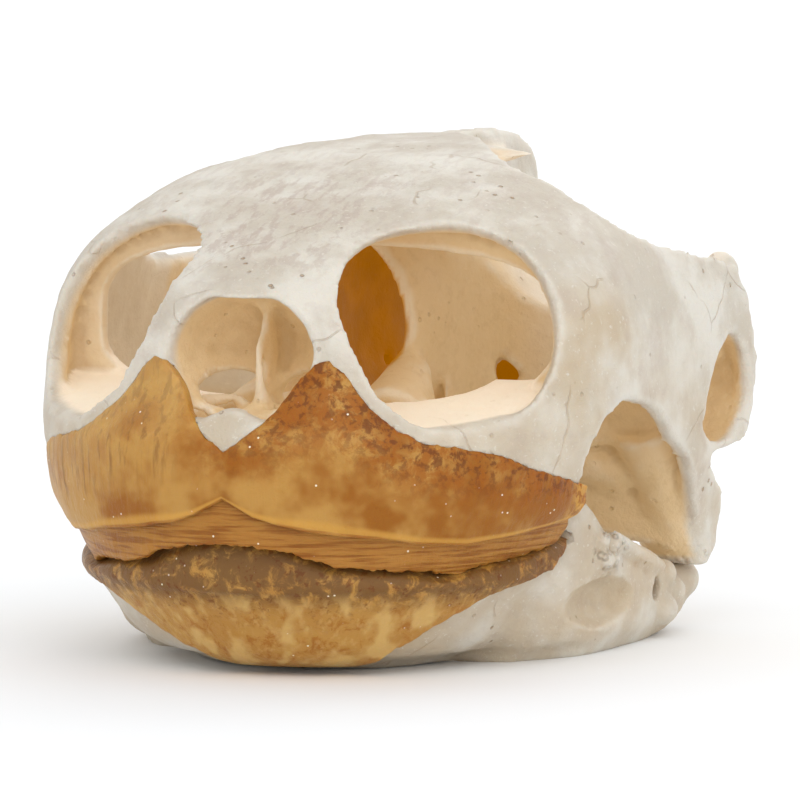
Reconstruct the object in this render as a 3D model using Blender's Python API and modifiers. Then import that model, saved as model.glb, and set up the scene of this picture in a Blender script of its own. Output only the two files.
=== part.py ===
"""Turtle skull: cranium, lower jaw and the two horny beak sheaths.

Sizes are in millimetres and become metres where a mesh is made. X is the
animal's left, Y runs back from the nostril and Z is up. The jaw's underside
rests on Z = 0, and the whole skull is centred on the origin at the end.
"""
import math

import bmesh
import bpy
import numpy as np
from mathutils import Vector

MM = 0.001

# Driving sizes
HALF_WIDTH = 25.0
WIDEST_AT = 22.0
WIDEST_LEVEL = 21.5
BONE_WALL = 1.7
SHEATH_OUT = 0.5
LOWER_SHEATH_OUT = 0.4
SHEATH_IN = 0.85
SEAT_IN = 1.45
BEAK_SPREAD = 80
VOXEL = 0.46
SMOOTHING = 4
CRANIUM_TRIANGLES = 5300
JAW_TRIANGLES = 1500
BEAK_STEPS = 16
BEAK_SHARES = 8
REST_LEVEL = -0.85

# Roof height along the midline
ROOF_LINE = (
    (-4, 27.0), (-0.5, 29.4), (0.3, 30.4), (2, 31.7), (6.7, 33.9), (11, 35.7), (15, 37.1),
    (22, 39.2), (28, 40.5), (34, 41.2), (40, 41.5), (46, 41.5), (62, 40.5),
)

# Openings of the cranium; the nostril is half an outline, the rest are whole
NOSTRIL_HALF = (
    (0.0, 30.2), (2.8, 30.1), (4.8, 29.3), (5.9, 27.9), (6.3, 26.3), (6.1, 24.6),
    (5.3, 22.8), (4.1, 21.2), (2.4, 20.6), (0.0, 21.5),
)
NOSTRIL_RIGHT = 1.1
ORBIT_MIDDLE = (14.3, 8.9, 27.7)
ORBIT_AIM = (0.60, -0.68, 0.42)
CHEEK_GAP = (
    (17.6, 3.0), (17.4, 12.0), (17.3, 15.9), (17.9, 18.0), (19.8, 19.8), (23.5, 20.9), (28.4, 20.1),
    (32.0, 18.8), (35.0, 16.8), (39.0, 14.6), (41.0, 12.5), (43.0, 10.0), (45.4, 7.4), (46.0, 6.0),
    (45.0, 4.6), (44.0, 3.0), (30.0, 1.0),
)
CHEEK_TAPER_AT = (20.0, 38.0)
CHEEK_TAPER = (0.19, 0.08)
EAR_GAP = (
    (48.8, 24.9), (47.2, 24.5), (45.2, 23.6), (43.2, 21.4), (41.6, 18.8), (41.3, 16.5), (42.4, 15.7),
    (46.0, 15.5), (50.6, 15.5), (51.7, 16.6), (51.8, 19.0), (51.0, 22.2), (49.8, 24.4),
)
BELOW_EAR = (
    (44.0, 14.6), (46.2, 12.6), (48.8, 10.6), (49.9, 8.6), (49.8, 6.6), (47.4, 4.9), (46.0, 3.0),
    (56.0, 1.0), (64.0, 3.0), (64.0, 13.0), (56.0, 14.9), (50.0, 15.0),
)
REAR_CUT = (
    (51.3, 14.0), (52.7, 16.5), (53.4, 19.5), (53.6, 23.0), (52.6, 26.2), (51.4, 28.6), (50.4, 30.4),
    (48.6, 32.0), (48.0, 50.0), (75.0, 52.0), (75.0, 2.0), (51.3, 2.0),
)
TEMPLE_START = (
    (14.0, 66.0), (2.4, 62.0), (2.2, 47.0), (3.6, 42.5), (6.4, 38.6), (9.6, 33.0), (12.8, 29.4),
)
TEMPLE_LEFT = (
    (16.0, 28.0), (18.8, 30.0), (20.8, 35.0), (22.2, 39.5), (23.4, 44.0), (24.5, 49.0), (24.6, 54.0),
    (23.0, 60.0),
)
TEMPLE_RIGHT = (
    (16.8, 29.8), (21.0, 31.8), (23.2, 35.0), (24.4, 39.2), (24.7, 44.0), (24.8, 49.0), (24.7, 54.0),
    (23.0, 60.0),
)

# Orbit outline across its line of sight: toward the temple and up
ORBIT_OUTLINE = (
    (-9.1, 0.7), (-7.8, 5.0), (-4.9, 8.0), (-0.6, 9.4), (4.1, 9.1), (7.8, 6.1), (9.5, 1.5), (9.0, -3.3),
    (6.0, -7.3), (1.3, -9.3), (-3.4, -8.8), (-6.8, -5.5),
)
ORBIT_DEPTHS = (-8.0, 14.0)

# The crest at the back of the roof, from the side
CREST = (
    (38.0, 40.0), (46.0, 41.3), (54.0, 41.4), (60.0, 40.7), (63.6, 39.2), (65.2, 36.8), (64.8, 34.4),
    (60.0, 32.6), (52.0, 31.0), (44.0, 35.0),
)
CREST_HALF = 1.2
BACK_KNOB = ((0.0, 54.6, 18.4), (2.1, 2.4, 1.8))
CORNER_KNOB = ((23.0, 51.4, 29.6), (1.6, 1.7, 1.9))

# The body under the orbits, from the side; its top is their floor
MAXILLA = ((-5.0, 11.8), (21.5, 11.8), (21.5, 22.6), (14.0, 21.4), (6.0, 20.2), (-5.0, 19.0))
MAXILLA_INSETS = (0.5, 5.6)
ORBIT_FLOOR_UNDERSIDE = 18.2
FLOOR_DIP = ((6.0, 21.0, 23.2), (6.5, 8.0, 4.0))
AIRWAY = ((3.6, 11.0, 19.0), (2.2, 4.2, 3.2))

# Half of the palate plate from above, its height, and its two pairs of windows
PALATE_HALF = (
    (0.0, 0.5), (8.0, 1.8), (14.5, 6.0), (17.4, 12.0), (17.6, 17.0), (14.0, 22.0), (9.6, 27.0), (8.0, 33.0),
    (8.6, 39.0), (12.0, 44.0), (9.0, 49.0), (0.0, 51.0),
)
PALATE_LEVEL = 16.4
PALATE_HALF_THICK = 0.9
PALATE_ARCH = 0.5
PALATE_WINDOWS = (((3.6, 11.5, 16.6), (2.2, 4.2, 4.0)), ((12.6, 23.0, 16.5), (2.2, 3.0, 4.0)))

# Braincase sections from front to back: y, half width, bottom, top and squareness
BRAINCASE = (
    (24.4, 4.8, 18.0, 34.0, 1.7), (27.0, 5.8, 17.4, 36.0, 1.9), (31.0, 6.8, 16.6, 39.0, 2.3),
    (36.0, 7.4, 16.2, 40.6, 2.6), (41.0, 7.4, 16.0, 40.6, 2.6), (46.0, 5.8, 16.0, 39.0, 2.4),
    (50.0, 4.8, 16.6, 35.0, 2.2), (53.0, 4.6, 17.6, 31.0, 2.2),
)
BRAINCASE_WALL = 1.2
NERVE_WINDOW = ((6.4, 23.6), (7.0, 20.1), (9.8, 20.9))
NERVE_AT = 40.0
NERVE_SLANT = (-0.40, -0.09)
NERVE_DEPTHS = (35.0, 45.5)
SPINAL_HOLE = (((0.0, 48.0, 24.6), (0.0, 58.0, 24.6)), (3.3, 3.4))

# Fillets between braincase and roof: y, height of the lower edge and half width
ROOF_WEB = (
    (20.0, 37.2, 2.0), (24.0, 33.5, 2.6), (28.0, 36.0, 5.0), (34.0, 38.0, 7.0), (42.0, 38.5, 6.6),
    (46.0, 38.5, 3.0),
)

# Capsule behind the nostril, as middles and radii
NOSE_CUP = ((0.0, 1.0, 25.6), (6.9, 8.9, 5.7))
NOSE_HOLLOW = ((0.0, 0.4, 25.7), (6.2, 8.3, 5.0))
NOSE_PASSAGE = ((3.4, 7.0, 21.9), (2.7, 3.6, 1.9))
SEPTUM = ((-0.5, 6.2, 21.0), (0.5, 9.2, 29.8))

# Funnel round the ear drum, as middles and radii on the left side
EAR_CUP = ((19.8, 46.6, 20.6), (7.4, 7.2, 6.5))
EAR_HOLLOW = ((22.6, 46.2, 20.2), (6.0, 6.2, 5.0))
EAR_LIMIT = 25.2
OTIC = ((12.4, 46.4, 20.8), (7.0, 7.0, 6.2))
BOXY = 0.75

# Pillar of the jaw joint, on the left side
PILLAR = (
    ((20.0, 42.0, 17.0), (20.6, 43.4, 13.0), (21.0, 45.4, 9.4), (20.6, 46.8, 7.6)),
    (3.4, 2.5, 2.3, 2.6),
)
QUADRATE = (
    (8.4, 15.6), (11.4, 12.2), (13.8, 8.8), (16.8, 7.0), (23.0, 6.6), (23.8, 12.0), (24.4, 18.0),
    (24.6, 26.4), (18.0, 27.4), (12.0, 27.6), (8.0, 28.0),
)
QUADRATE_THICK = 2.1
CONDYLE = ((20.2, 47.0, 6.9), (3.0, 2.0, 1.6))
PTERYGOID = (((7.6, 34.0, 16.4), (12.0, 39.0, 15.6), (17.6, 43.4, 12.6)), (1.2, 1.7, 1.9))

# Upper beak, by degrees round from the midline: top edge, cutting edge and lip
UPPER_TOP = (
    (0, 18.0), (4, 19.2), (9, 21.1), (13, 23.3), (17, 25.0), (20, 25.2), (23, 24.4), (28, 21.6), (33, 19.8),
    (38, 18.8), (46, 18.2), (54, 17.6), (60, 16.5), (68, 15.6), (80, 14.3),
)
UPPER_EDGE = (
    (0, 13.5), (5, 13.2), (10, 12.1), (16, 11.4), (22, 11.0), (29, 10.7), (38, 10.0), (48, 9.6), (60, 9.8),
    (80, 10.6),
)
LIP_EDGE = (
    (0, 11.0), (10, 10.6), (17, 9.9), (22, 9.1), (38, 8.7), (47, 8.1), (58, 8.7), (70, 9.2), (80, 9.8),
)

# Lower beak profile: how far in from the widest outline, and height
JAW_TOP = 11.0
JAW_RISE = ((2.9, 1.5), (2.3, 0.6), (1.55, 0.0), (0.7, -0.8))
JAW_RISE_SIDE = 1.4
JAW_PROFILE = (
    (0.35, 7.0), (0.8, 6.2), (1.4, 5.3), (2.1, 4.3), (2.9, 3.2), (3.8, 1.9), (5.0, 0.8), (6.6, 0.2),
    (8.2, 0.0),
)
JAW_PROFILE_END = (
    (0, 1.0), (30, 0.95), (36, 0.84), (40, 0.76), (45, 0.70), (50, 0.63), (60, 0.47), (70, 0.40), (80, 0.38),
)
JAW_HALF_WIDTH = 21.2
JAW_FRONT = -1.5

# Lower jaw bone along one side: outer x, y, height of top, of bottom, thickness
RAMUS = (
    (21.6, 20.0, 9.4, -1.2, 4.0), (22.1, 22.5, 12.6, -1.3, 3.8), (22.3, 24.5, 12.2, -1.3, 3.6),
    (22.6, 27.5, 9.8, -1.3, 3.6), (22.7, 31.5, 8.0, -1.3, 4.0), (22.6, 37.0, 6.8, -1.3, 4.6),
    (22.4, 41.0, 5.6, -1.2, 5.4), (22.2, 45.0, 4.6, -0.6, 6.0), (21.6, 48.5, 4.4, 0.8, 5.6),
    (20.4, 50.6, 3.8, 2.0, 3.0),
)
RAMUS_LEAN_AT = (20.0, 26.0, 44.0)
RAMUS_LEAN = (0.6, 0.25, 0.1)
JAW_BODY = (8.8, -0.8, 3.6, 3.4)
CHEEK_PIT = ((23.2, 25.0, 3.6), (3.0, 7.6, 2.4))
MUSCLE_PIT = ((19.8, 33.0, 9.0), (1.6, 4.2, 2.4))
JAW_NERVE = (((24.0, 39.4, 3.2), (19.6, 40.6, 3.6)), (0.9, 0.6))

# Colours and roughness of bone and horn
IVORY = (0.80, 0.72, 0.60)
AMBER = (0.42, 0.20, 0.06)
BONE_ROUGHNESS = 0.6
HORN_ROUGHNESS = 0.4


def along(table, at):
    """Value of a table of pairs at a distance, between its entries."""
    return np.interp(at, [row[0] for row in table], [row[1] for row in table])


def front_of(level):
    """How far forward the face reaches at a height."""
    share = np.clip((23.5 - level) / 5.5, 0.0, 1.0)
    return -0.5 - 2.5 * share * share * (3.0 - 2.0 * share)


def inside_head(points):
    """Which points lie inside the smooth outer form of the head."""
    across = np.abs(points[..., 0])
    back = points[..., 1]
    up = points[..., 2]
    front = front_of(up)
    turn = np.clip((WIDEST_AT - back) / (WIDEST_AT - front), 0.0, 1.0)
    width = (HALF_WIDTH + np.clip(back - WIDEST_AT, 0.0, 30.0) * 0.025) * np.sqrt(1.0 - turn * turn)
    width = np.maximum(width, 1e-6)
    arch = np.interp(back, (8.0, 18.0), (2.2, 2.95))
    rise = np.clip((up - WIDEST_LEVEL) / (along(ROOF_LINE, back) - WIDEST_LEVEL), 0.0, 2.0)
    taper = np.interp(back, CHEEK_TAPER_AT, CHEEK_TAPER)
    drop = np.clip((WIDEST_LEVEL - up) / 13.5, 0.0, 1.0)
    dome = (across / width) ** arch + rise ** arch < 1.0
    cheek = across < width * (1.0 - taper * drop * drop)
    return np.where(up >= WIDEST_LEVEL, dome, cheek) & (up > 5.0) & (back < 58.0) & (back > front)


def reach(starts, directions, longest=70.0):
    """Distance from each start to the head's surface, by halving."""
    near = np.zeros(len(starts))
    far = np.full(len(starts), longest)
    for _ in range(26):
        middle = (near + far) / 2.0
        within = inside_head(starts + directions * middle[:, None])
        near = np.where(within, middle, near)
        far = np.where(within, far, middle)
    return near


def show(name, mesh, helper=False):
    """A new object for a mesh, in the collection it belongs to."""
    item = bpy.data.objects.new(name, mesh)
    (cutters if helper else skull).objects.link(item)
    item.hide_render = helper
    if helper:
        item.display_type = "WIRE"
    return item


def from_bmesh(name, shape):
    """A helper object of a shape, with its faces turned outward."""
    bmesh.ops.recalc_face_normals(shape, faces=shape.faces)
    mesh = bpy.data.meshes.new(name)
    shape.to_mesh(mesh)
    shape.free()
    return show(name, mesh, True)


def head_form(name, inset, fineness=5):
    """A ball drawn out to the head's outer form, set in by a wall."""
    shape = bmesh.new()
    bmesh.ops.create_icosphere(shape, subdivisions=fineness, radius=1.0)
    directions = np.array([corner.co.normalized() for corner in shape.verts])
    directions = directions * (0.9, 1.15, 0.8)
    directions = directions / np.linalg.norm(directions, axis=1)[:, None]
    middle = np.array((0.0, 26.0, 21.0))
    distances = reach(np.tile(middle, (len(directions), 1)), directions) - inset
    for corner, direction, distance in zip(shape.verts, directions, distances):
        corner.co = Vector(middle + direction * distance) * MM
    return from_bmesh(name, shape)


def rounded(points, steps=4):
    """A closed curve drawn smoothly through a few points."""
    corners = [Vector(point) for point in points]
    count = len(corners)
    curve = []
    for index in range(count):
        before, start, end, after = (corners[(index + shift) % count] for shift in (-1, 0, 1, 2))
        for step in range(steps):
            t = step / steps
            curve.append(
                0.5
                * (
                    2 * start
                    + (end - before) * t
                    + (2 * before - 5 * start + 4 * end - after) * t * t
                    + (3 * start - before - 3 * end + after) * t**3
                )
            )
    return curve


def prism(name, outline, place, depths):
    """A straight cutter: an outline put in space by place(u, v, depth)."""
    shape = bmesh.new()
    ends = []
    for depth in depths:
        ends.append([shape.verts.new(Vector(place(point[0], point[1], depth)) * MM) for point in outline])
    shape.faces.new(ends[0])
    shape.faces.new(reversed(ends[1]))
    count = len(outline)
    for index in range(count):
        after = (index + 1) % count
        shape.faces.new((ends[0][index], ends[1][index], ends[1][after], ends[0][after]))
    return from_bmesh(name, shape)


def box(name, low, high):
    """A block between two corners."""
    outline = ((low[0], low[1]), (high[0], low[1]), (high[0], high[1]), (low[0], high[1]))
    return prism(name, outline, lambda u, v, depth: (u, v, depth), (low[2], high[2]))


def loft(name, rings):
    """A solid skinned over closed rings of equal count, with both ends capped."""
    shape = bmesh.new()
    rows = [[shape.verts.new(Vector(point) * MM) for point in ring] for ring in rings]
    count = len(rows[0])
    for first, second in zip(rows, rows[1:]):
        for index in range(count):
            after = (index + 1) % count
            shape.faces.new((first[index], first[after], second[after], second[index]))
    shape.faces.new(rows[0])
    shape.faces.new(reversed(rows[-1]))
    return from_bmesh(name, shape)


def egg(name, middle, radii, fineness=3, roundness=1.0):
    """A ball stretched to three radii, and made boxy by a roundness under 1."""
    shape = bmesh.new()
    bmesh.ops.create_icosphere(shape, subdivisions=fineness, radius=1.0)
    for corner in shape.verts:
        swollen = [math.copysign(abs(c) ** roundness, c) for c in corner.co]
        corner.co = Vector([m + r * c for m, r, c in zip(middle, radii, swollen)]) * MM
    return from_bmesh(name, shape)


def rod(name, points, radii, sides=12):
    """A tapering rod, skinned over rings round its path."""
    rings = []
    for index, point in enumerate(points):
        here = Vector(point)
        after = Vector(points[min(index + 1, len(points) - 1)])
        before = Vector(points[max(index - 1, 0)])
        run = (after - before).normalized()
        side = run.cross(Vector((0, 0, 1)) if abs(run.z) < 0.9 else Vector((0, 1, 0))).normalized()
        rise = side.cross(run)
        turns = [2 * math.pi * step / sides for step in range(sides)]
        spokes = [math.cos(turn) * side + math.sin(turn) * rise for turn in turns]
        rings.append([here + radii[index] * spoke for spoke in spokes])
    return loft(name, rings)


def settle(item):
    """Applies the modifiers of an object."""
    graph = bpy.context.evaluated_depsgraph_get()
    graph.update()
    mesh = bpy.data.meshes.new_from_object(item.evaluated_get(graph))
    item.modifiers.clear()
    item.data = mesh
    return item


def combine(base, tools, operation):
    """A Boolean with each tool in turn; the tools are used up."""
    for tool in tools:
        change = base.modifiers.new(tool.name, "BOOLEAN")
        change.operation = operation
        change.object = tool
        settle(base)
        bpy.data.objects.remove(tool)
    return base


def gathered(name, items):
    """One mesh of several closed shapes, for a remesh to fuse."""
    shape = bmesh.new()
    for item in items:
        shape.from_mesh(item.data)
        bpy.data.objects.remove(item)
    mesh = bpy.data.meshes.new(name)
    shape.to_mesh(mesh)
    shape.free()
    return show(name, mesh, True)


def fused(item, voxel=VOXEL, smoothing=SMOOTHING):
    """Fuses the shapes of a mesh and rounds their edges."""
    remesh = item.modifiers.new("Fuse", "REMESH")
    remesh.mode = "VOXEL"
    remesh.voxel_size = voxel * MM
    smooth = item.modifiers.new("Round", "SMOOTH")
    smooth.factor = 0.5
    smooth.iterations = smoothing
    return settle(item)


def mirrored(item):
    """A copy on the other side of the midline."""
    mesh = item.data.copy()
    for corner in mesh.vertices:
        corner.co.x = -corner.co.x
    mesh.flip_normals()
    return show(item.name + "_right", mesh, True)


def orbit_cutter():
    """A prism along the left orbit's line of sight."""
    aim = Vector(ORBIT_AIM).normalized()
    back = Vector((0, 0, 1)).cross(aim).normalized()
    rise = aim.cross(back)
    middle = Vector(ORBIT_MIDDLE)

    def place(u, v, depth):
        return middle + back * u + rise * v + aim * depth

    return prism("orbit", rounded(ORBIT_OUTLINE), place, ORBIT_DEPTHS)


def sideways(name, outline, half_length=32.0, steps=3):
    """A solid right across the skull, outlined from the side."""
    return prism(name, rounded(outline, steps), lambda u, v, d: (d, u, v), (-half_length, half_length))


def temple_cutter(side, outer_edge):
    """The gap in the roof behind a temple; its outer wall leans out, square to the bone."""

    def place(u, v, level):
        lean = min(max((u - 14.0) / 7.0, 0.0), 1.0)
        return side * (u + 1.1 * lean * (level - 31.0)), v, level

    return prism("temple", rounded(TEMPLE_START + outer_edge, 3), place, (25.0, 48.0))


def half_outline(half, wider=1.0):
    """A whole outline from its left half, with the right one a little wider if asked."""
    return half + tuple((-x * wider, y) for x, y in reversed(half[1:-1]))


def shell():
    """The outer wall of the cranium with its openings."""
    nostril = rounded(half_outline(NOSTRIL_HALF, NOSTRIL_RIGHT), 2)
    orbit = orbit_cutter()
    return combine(head_form("shell", 0.0), [
        head_form("hollow", BONE_WALL),
        prism("nostril", nostril, lambda u, v, d: (u, d, v), (-8.0, 4.5)),
        mirrored(orbit),
        orbit,
        temple_cutter(1, TEMPLE_LEFT),
        temple_cutter(-1, TEMPLE_RIGHT),
        sideways("cheek", CHEEK_GAP),
        sideways("ear", EAR_GAP),
        sideways("below_ear", BELOW_EAR),
        box("under", (-40, -9, 0), (40, 21, 11.8)),
        box("floor", (-19.5, 15, 0), (19.5, 70, 12)),
        box("behind", (-21, 46, 0), (21, 70, 50)),
        sideways("rear_end", REAR_CUT, 40.0),
    ], "DIFFERENCE")


def maxilla():
    """The thick body under the orbits, whose top is the orbit's floor."""
    outer, inner = MAXILLA_INSETS
    body = head_form("maxilla", outer, 4)
    wedge = prism("wedge", MAXILLA, lambda u, v, d: (d, u, v), (-40, 40))
    combine(body, [wedge], "INTERSECT")
    core = combine(head_form("core", inner, 4), [
        box("above", (-40, -10, ORBIT_FLOOR_UNDERSIDE), (40, 70, 60)),
    ], "DIFFERENCE")
    hollows = [egg("airway", *AIRWAY), egg("dip", *FLOOR_DIP)]
    hollows += [mirrored(hollow) for hollow in hollows]
    return combine(body, [core] + hollows + [sideways("cheek", CHEEK_GAP)], "DIFFERENCE")


def palate():
    """The roof of the mouth and the pterygoids, one arched plate."""
    plate = prism(
        "palate",
        rounded(half_outline(PALATE_HALF), 3),
        lambda u, v, d: (u, v, PALATE_LEVEL + d + PALATE_ARCH * math.cos(u / 9.0)),
        (-PALATE_HALF_THICK, PALATE_HALF_THICK),
    )
    windows = [egg("window", *window, 2) for window in PALATE_WINDOWS]
    return combine(plate, [mirrored(window) for window in windows] + windows, "DIFFERENCE")


def tube_ring(half, low, high, y, squareness, sides=28):
    """A squarish upright ring at a distance back."""
    ring = []
    for step in range(sides):
        turn = 2 * math.pi * step / sides
        c, s = math.cos(turn), math.sin(turn)
        x = half * math.copysign(abs(c) ** (2 / squareness), c)
        z = (low + high) / 2 + (high - low) / 2 * math.copysign(abs(s) ** (2 / squareness), s)
        ring.append((x, y, z))
    return ring


def nerve_window():
    """The left three-cornered hole that slants inward into the braincase."""
    across, fall = NERVE_SLANT

    def place(u, v, depth):
        return u + across * (depth - NERVE_AT), depth, v + fall * (depth - NERVE_AT)

    return prism("nerve", NERVE_WINDOW, place, NERVE_DEPTHS)


def braincase():
    """The tube round the brain, open in front and at the rear."""
    wall = BRAINCASE_WALL
    rings = [tube_ring(half, low, high, y, square) for y, half, low, high, square in BRAINCASE]
    outer = loft("braincase", rings)
    rings = [
        tube_ring(half - wall, low + wall, high - wall, y, square) for y, half, low, high, square in BRAINCASE
    ]
    rings[0] = [(x, y - 2.0, z) for x, y, z in rings[0]]
    rings[-1] = [(x, y - 0.8, z) for x, y, z in rings[-1]]
    nerve = nerve_window()
    tools = [loft("brain", rings), mirrored(nerve), nerve, rod("spinal_hole", *SPINAL_HOLE, 20)]
    return combine(outer, tools, "DIFFERENCE")


def roof_web():
    """The fillets between braincase and roof, one each side of the midline."""
    rings = []
    for y, low, half in ROOF_WEB:
        top = float(along(ROOF_LINE, y)) - 0.7
        wide = half * 1.5
        slim = half * 0.6
        eaves = top - 0.7
        rings.append([(-wide, y, eaves), (-slim, y, low), (slim, y, low), (wide, y, eaves), (0, y, top)])
    return loft("roof_web", rings)


def nose_cup():
    """The thin capsule behind the nostril, with its two inner openings."""
    passage = egg("passage", *NOSE_PASSAGE)
    cup = combine(egg("cup", *NOSE_CUP, 4), [
        egg("cup_hollow", *NOSE_HOLLOW, 4),
        box("mouth", (-9, -12, 14), (9, 0.9, 36)),
        mirrored(passage),
        passage,
    ], "DIFFERENCE")
    return [cup, box("septum", *SEPTUM)]


def ear_cup():
    """The left funnel round the ear drum, and the block inside it."""
    cup = combine(egg("ear_cup", *EAR_CUP, 4, BOXY), [
        egg("ear_hollow", *EAR_HOLLOW, 4),
        box("ear_limit", (EAR_LIMIT, 30, 5), (40, 60, 35)),
    ], "DIFFERENCE")
    otic = combine(egg("otic", *OTIC, 3, BOXY), [nerve_window()], "DIFFERENCE")
    return [cup, otic]


def quadrate():
    """The left leaning pillar that carries the jaw joint, with its wall."""

    def place(u, v, depth):
        return u, 38.4 + (u - 8.0) * 0.34 + (20.0 - v) * 0.12 + depth, v

    wall = prism("quadrate", QUADRATE, place, (-0.2, QUADRATE_THICK - 0.2))
    return [
        rod("pillar", *PILLAR),
        combine(wall, [egg("ear_hollow", *EAR_HOLLOW, 4), nerve_window()], "DIFFERENCE"),
        egg("condyle", *CONDYLE),
        rod("pterygoid", *PTERYGOID),
    ]


def occiput():
    """The crest at the back of the roof and the knob for the neck."""
    return [
        prism("crest", rounded(CREST, 3), lambda u, v, d: (d, u, v), (-CREST_HALF, CREST_HALF)),
        egg("back_knob", *BACK_KNOB),
    ]


def section_at(turn, profile):
    """Points on the head's wall in the plane at some degrees round the beak."""
    angle = math.radians(turn)
    heading = np.array((math.sin(angle), -math.cos(angle), 0.0))
    starts = np.array([(0.0, WIDEST_AT, level) for _, level in profile])
    distances = reach(starts, np.tile(heading, (len(profile), 1)))
    insets = [inset for inset, _ in profile]
    return [start + heading * (distance - inset) for start, distance, inset in zip(starts, distances, insets)]


def beak_turns(spare):
    """Degrees round from the midline at which a beak's sections stand."""
    spread = BEAK_SPREAD + (2 if spare else 0)
    return [spread * step / BEAK_STEPS for step in range(-BEAK_STEPS, BEAK_STEPS + 1)]


def upper_sheath(name, out, back_in, spare):
    """The upper beak: a curved plate whose cutting edge carries a thin lip."""
    rings = []
    for turn in beak_turns(spare):
        top = float(along(UPPER_TOP, abs(turn))) + spare
        edge = float(along(UPPER_EDGE, abs(turn)))
        lip = float(along(LIP_EDGE, abs(turn))) - spare
        high = top - edge
        rings.append(section_at(turn, [
            (back_in, top - 0.1),
            (-out * 0.4, top),
            (-out, top - 0.25 * high),
            (-out - 0.15, edge + 0.4 * high),
            (-out, edge + 0.3),
            (-out + 0.35, edge - 0.1),
            (-out + 1.0, edge - 0.15),
            (-out + 1.2, lip + 0.3),
            (-out + 1.6, lip),
            (back_in + 0.9, lip + 0.2),
            (back_in + 1.0, edge + 0.4),
            (back_in, edge + 1.4),
        ]))
    return loft(name, rings)


def jaw_point(turn, inset, level):
    """A point on the jaw's outline, some degrees round from the midline."""
    angle = math.radians(turn)
    return Vector((
        (JAW_HALF_WIDTH - inset) * math.sin(angle),
        WIDEST_AT - (WIDEST_AT - JAW_FRONT - inset) * math.cos(angle),
        level,
    ))


def profile_at(turn, share):
    """Inset and height at a share of the way down the jaw's profile."""
    lip = float(along(LIP_EDGE, abs(turn)))
    side = JAW_RISE_SIDE * abs(turn) / BEAK_SPREAD
    lowest = JAW_RISE[-1][1]
    rising = [(inset + side * min(rise - lowest, 1.0), rise) for inset, rise in JAW_RISE]
    profile = [(inset, min(lip + rise, JAW_TOP)) for inset, rise in rising] + list(JAW_PROFILE)
    spots = [index / (len(profile) - 1) for index in range(len(profile))]
    inset = float(np.interp(share, spots, [spot[0] for spot in profile]))
    level = float(np.interp(share, spots, [spot[1] for spot in profile]))
    return inset, level


def lower_sheath(name, out, depth, spare):
    """The lower beak: a plate wrapped round the chin, cut back along each side."""
    rings = []
    for turn in beak_turns(spare):
        end = float(along(JAW_PROFILE_END, abs(turn))) + spare * 0.06
        outer = []
        inner = []
        for step in range(BEAK_SHARES + 1):
            share = end * step / BEAK_SHARES
            inset, level = profile_at(turn, min(share, 1.0))
            low = max(share - 0.6, 0.0) / 0.4
            outer.append(jaw_point(turn, inset - out * (1 - low), level - out * low))
            inner.append(jaw_point(turn, inset + depth * (1 - 0.55 * low), level + depth * low * 0.9))
        outer[0].z += spare
        inner[0].z += spare
        rings.append(outer + inner[::-1])
    return loft(name, rings)


def upright_ring(top, bottom, thick, sides=16):
    """A rounded upright section: distance in from the outer face, and height."""
    ring = []
    for step in range(sides):
        turn = 2 * math.pi * step / sides
        c, s = math.cos(turn), math.sin(turn)
        inward = thick / 2 - math.copysign(abs(c) ** 0.7, c) * thick / 2
        level = (top + bottom) / 2 + math.copysign(abs(s) ** 0.6, s) * (top - bottom) / 2
        ring.append((inward, level))
    return ring


def lean_at(level):
    """How far in the jaw's outer face lies at a height."""
    rising = JAW_PROFILE[::-1]
    return float(np.interp(level, [spot[1] for spot in rising], [spot[0] for spot in rising]))


def ramus_rings(side):
    """Sections of one side's jaw bone, from the beak back to the joint."""
    rings = []
    for x, y, top, bottom, thick in RAMUS:
        lean = float(np.interp(y, RAMUS_LEAN_AT, RAMUS_LEAN))
        ring = upright_ring(top, bottom, thick)
        ring = [(x - inward - lean * lean_at(min(level, 6.0)), level) for inward, level in ring]
        rings.append([(side * outward, y, level) for outward, level in ring])
    return rings


def jaw_bone():
    """The U of the lower jaw, flush with its sheath before the seat is cut."""
    top, bottom, thick, thicker = JAW_BODY
    arc = []
    for turn in range(-76, 77, 4):
        share = 1.0 - abs(turn) / 90.0
        ring = upright_ring(top - 0.4 * share, bottom, thick + thicker * share**2)
        arc.append([jaw_point(turn, 0.3 + inward + lean_at(level), level) for inward, level in ring])
    jaw = loft("jaw", ramus_rings(-1)[::-1] + arc + ramus_rings(1))
    cuts = [
        egg("cheek_pit", *CHEEK_PIT),
        egg("muscle_pit", *MUSCLE_PIT),
        rod("jaw_nerve", *JAW_NERVE, 8),
    ]
    return combine(jaw, [mirrored(cut) for cut in cuts] + cuts, "DIFFERENCE")


def thinned(item, triangles):
    """Brings a dense shape down to its budget."""
    item.data.calc_loop_triangles()
    thin = item.modifiers.new("Thin", "DECIMATE")
    thin.ratio = min(1.0, triangles / len(item.data.loop_triangles))
    thin.use_collapse_triangulate = True
    return settle(item)


def finished(item, name, colour, roughness):
    """Makes a finished shape a visible sub-part."""
    cutters.objects.unlink(item)
    skull.objects.link(item)
    item.hide_render = False
    item.display_type = "TEXTURED"
    item.name = name
    item.data.name = name
    material = bpy.data.materials.new(name)
    material.use_nodes = True
    surface = material.node_tree.nodes["Principled BSDF"]
    surface.inputs["Base Color"].default_value = (*colour, 1.0)
    surface.inputs["Roughness"].default_value = roughness
    item.data.materials.clear()
    item.data.materials.append(material)
    return item


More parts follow.
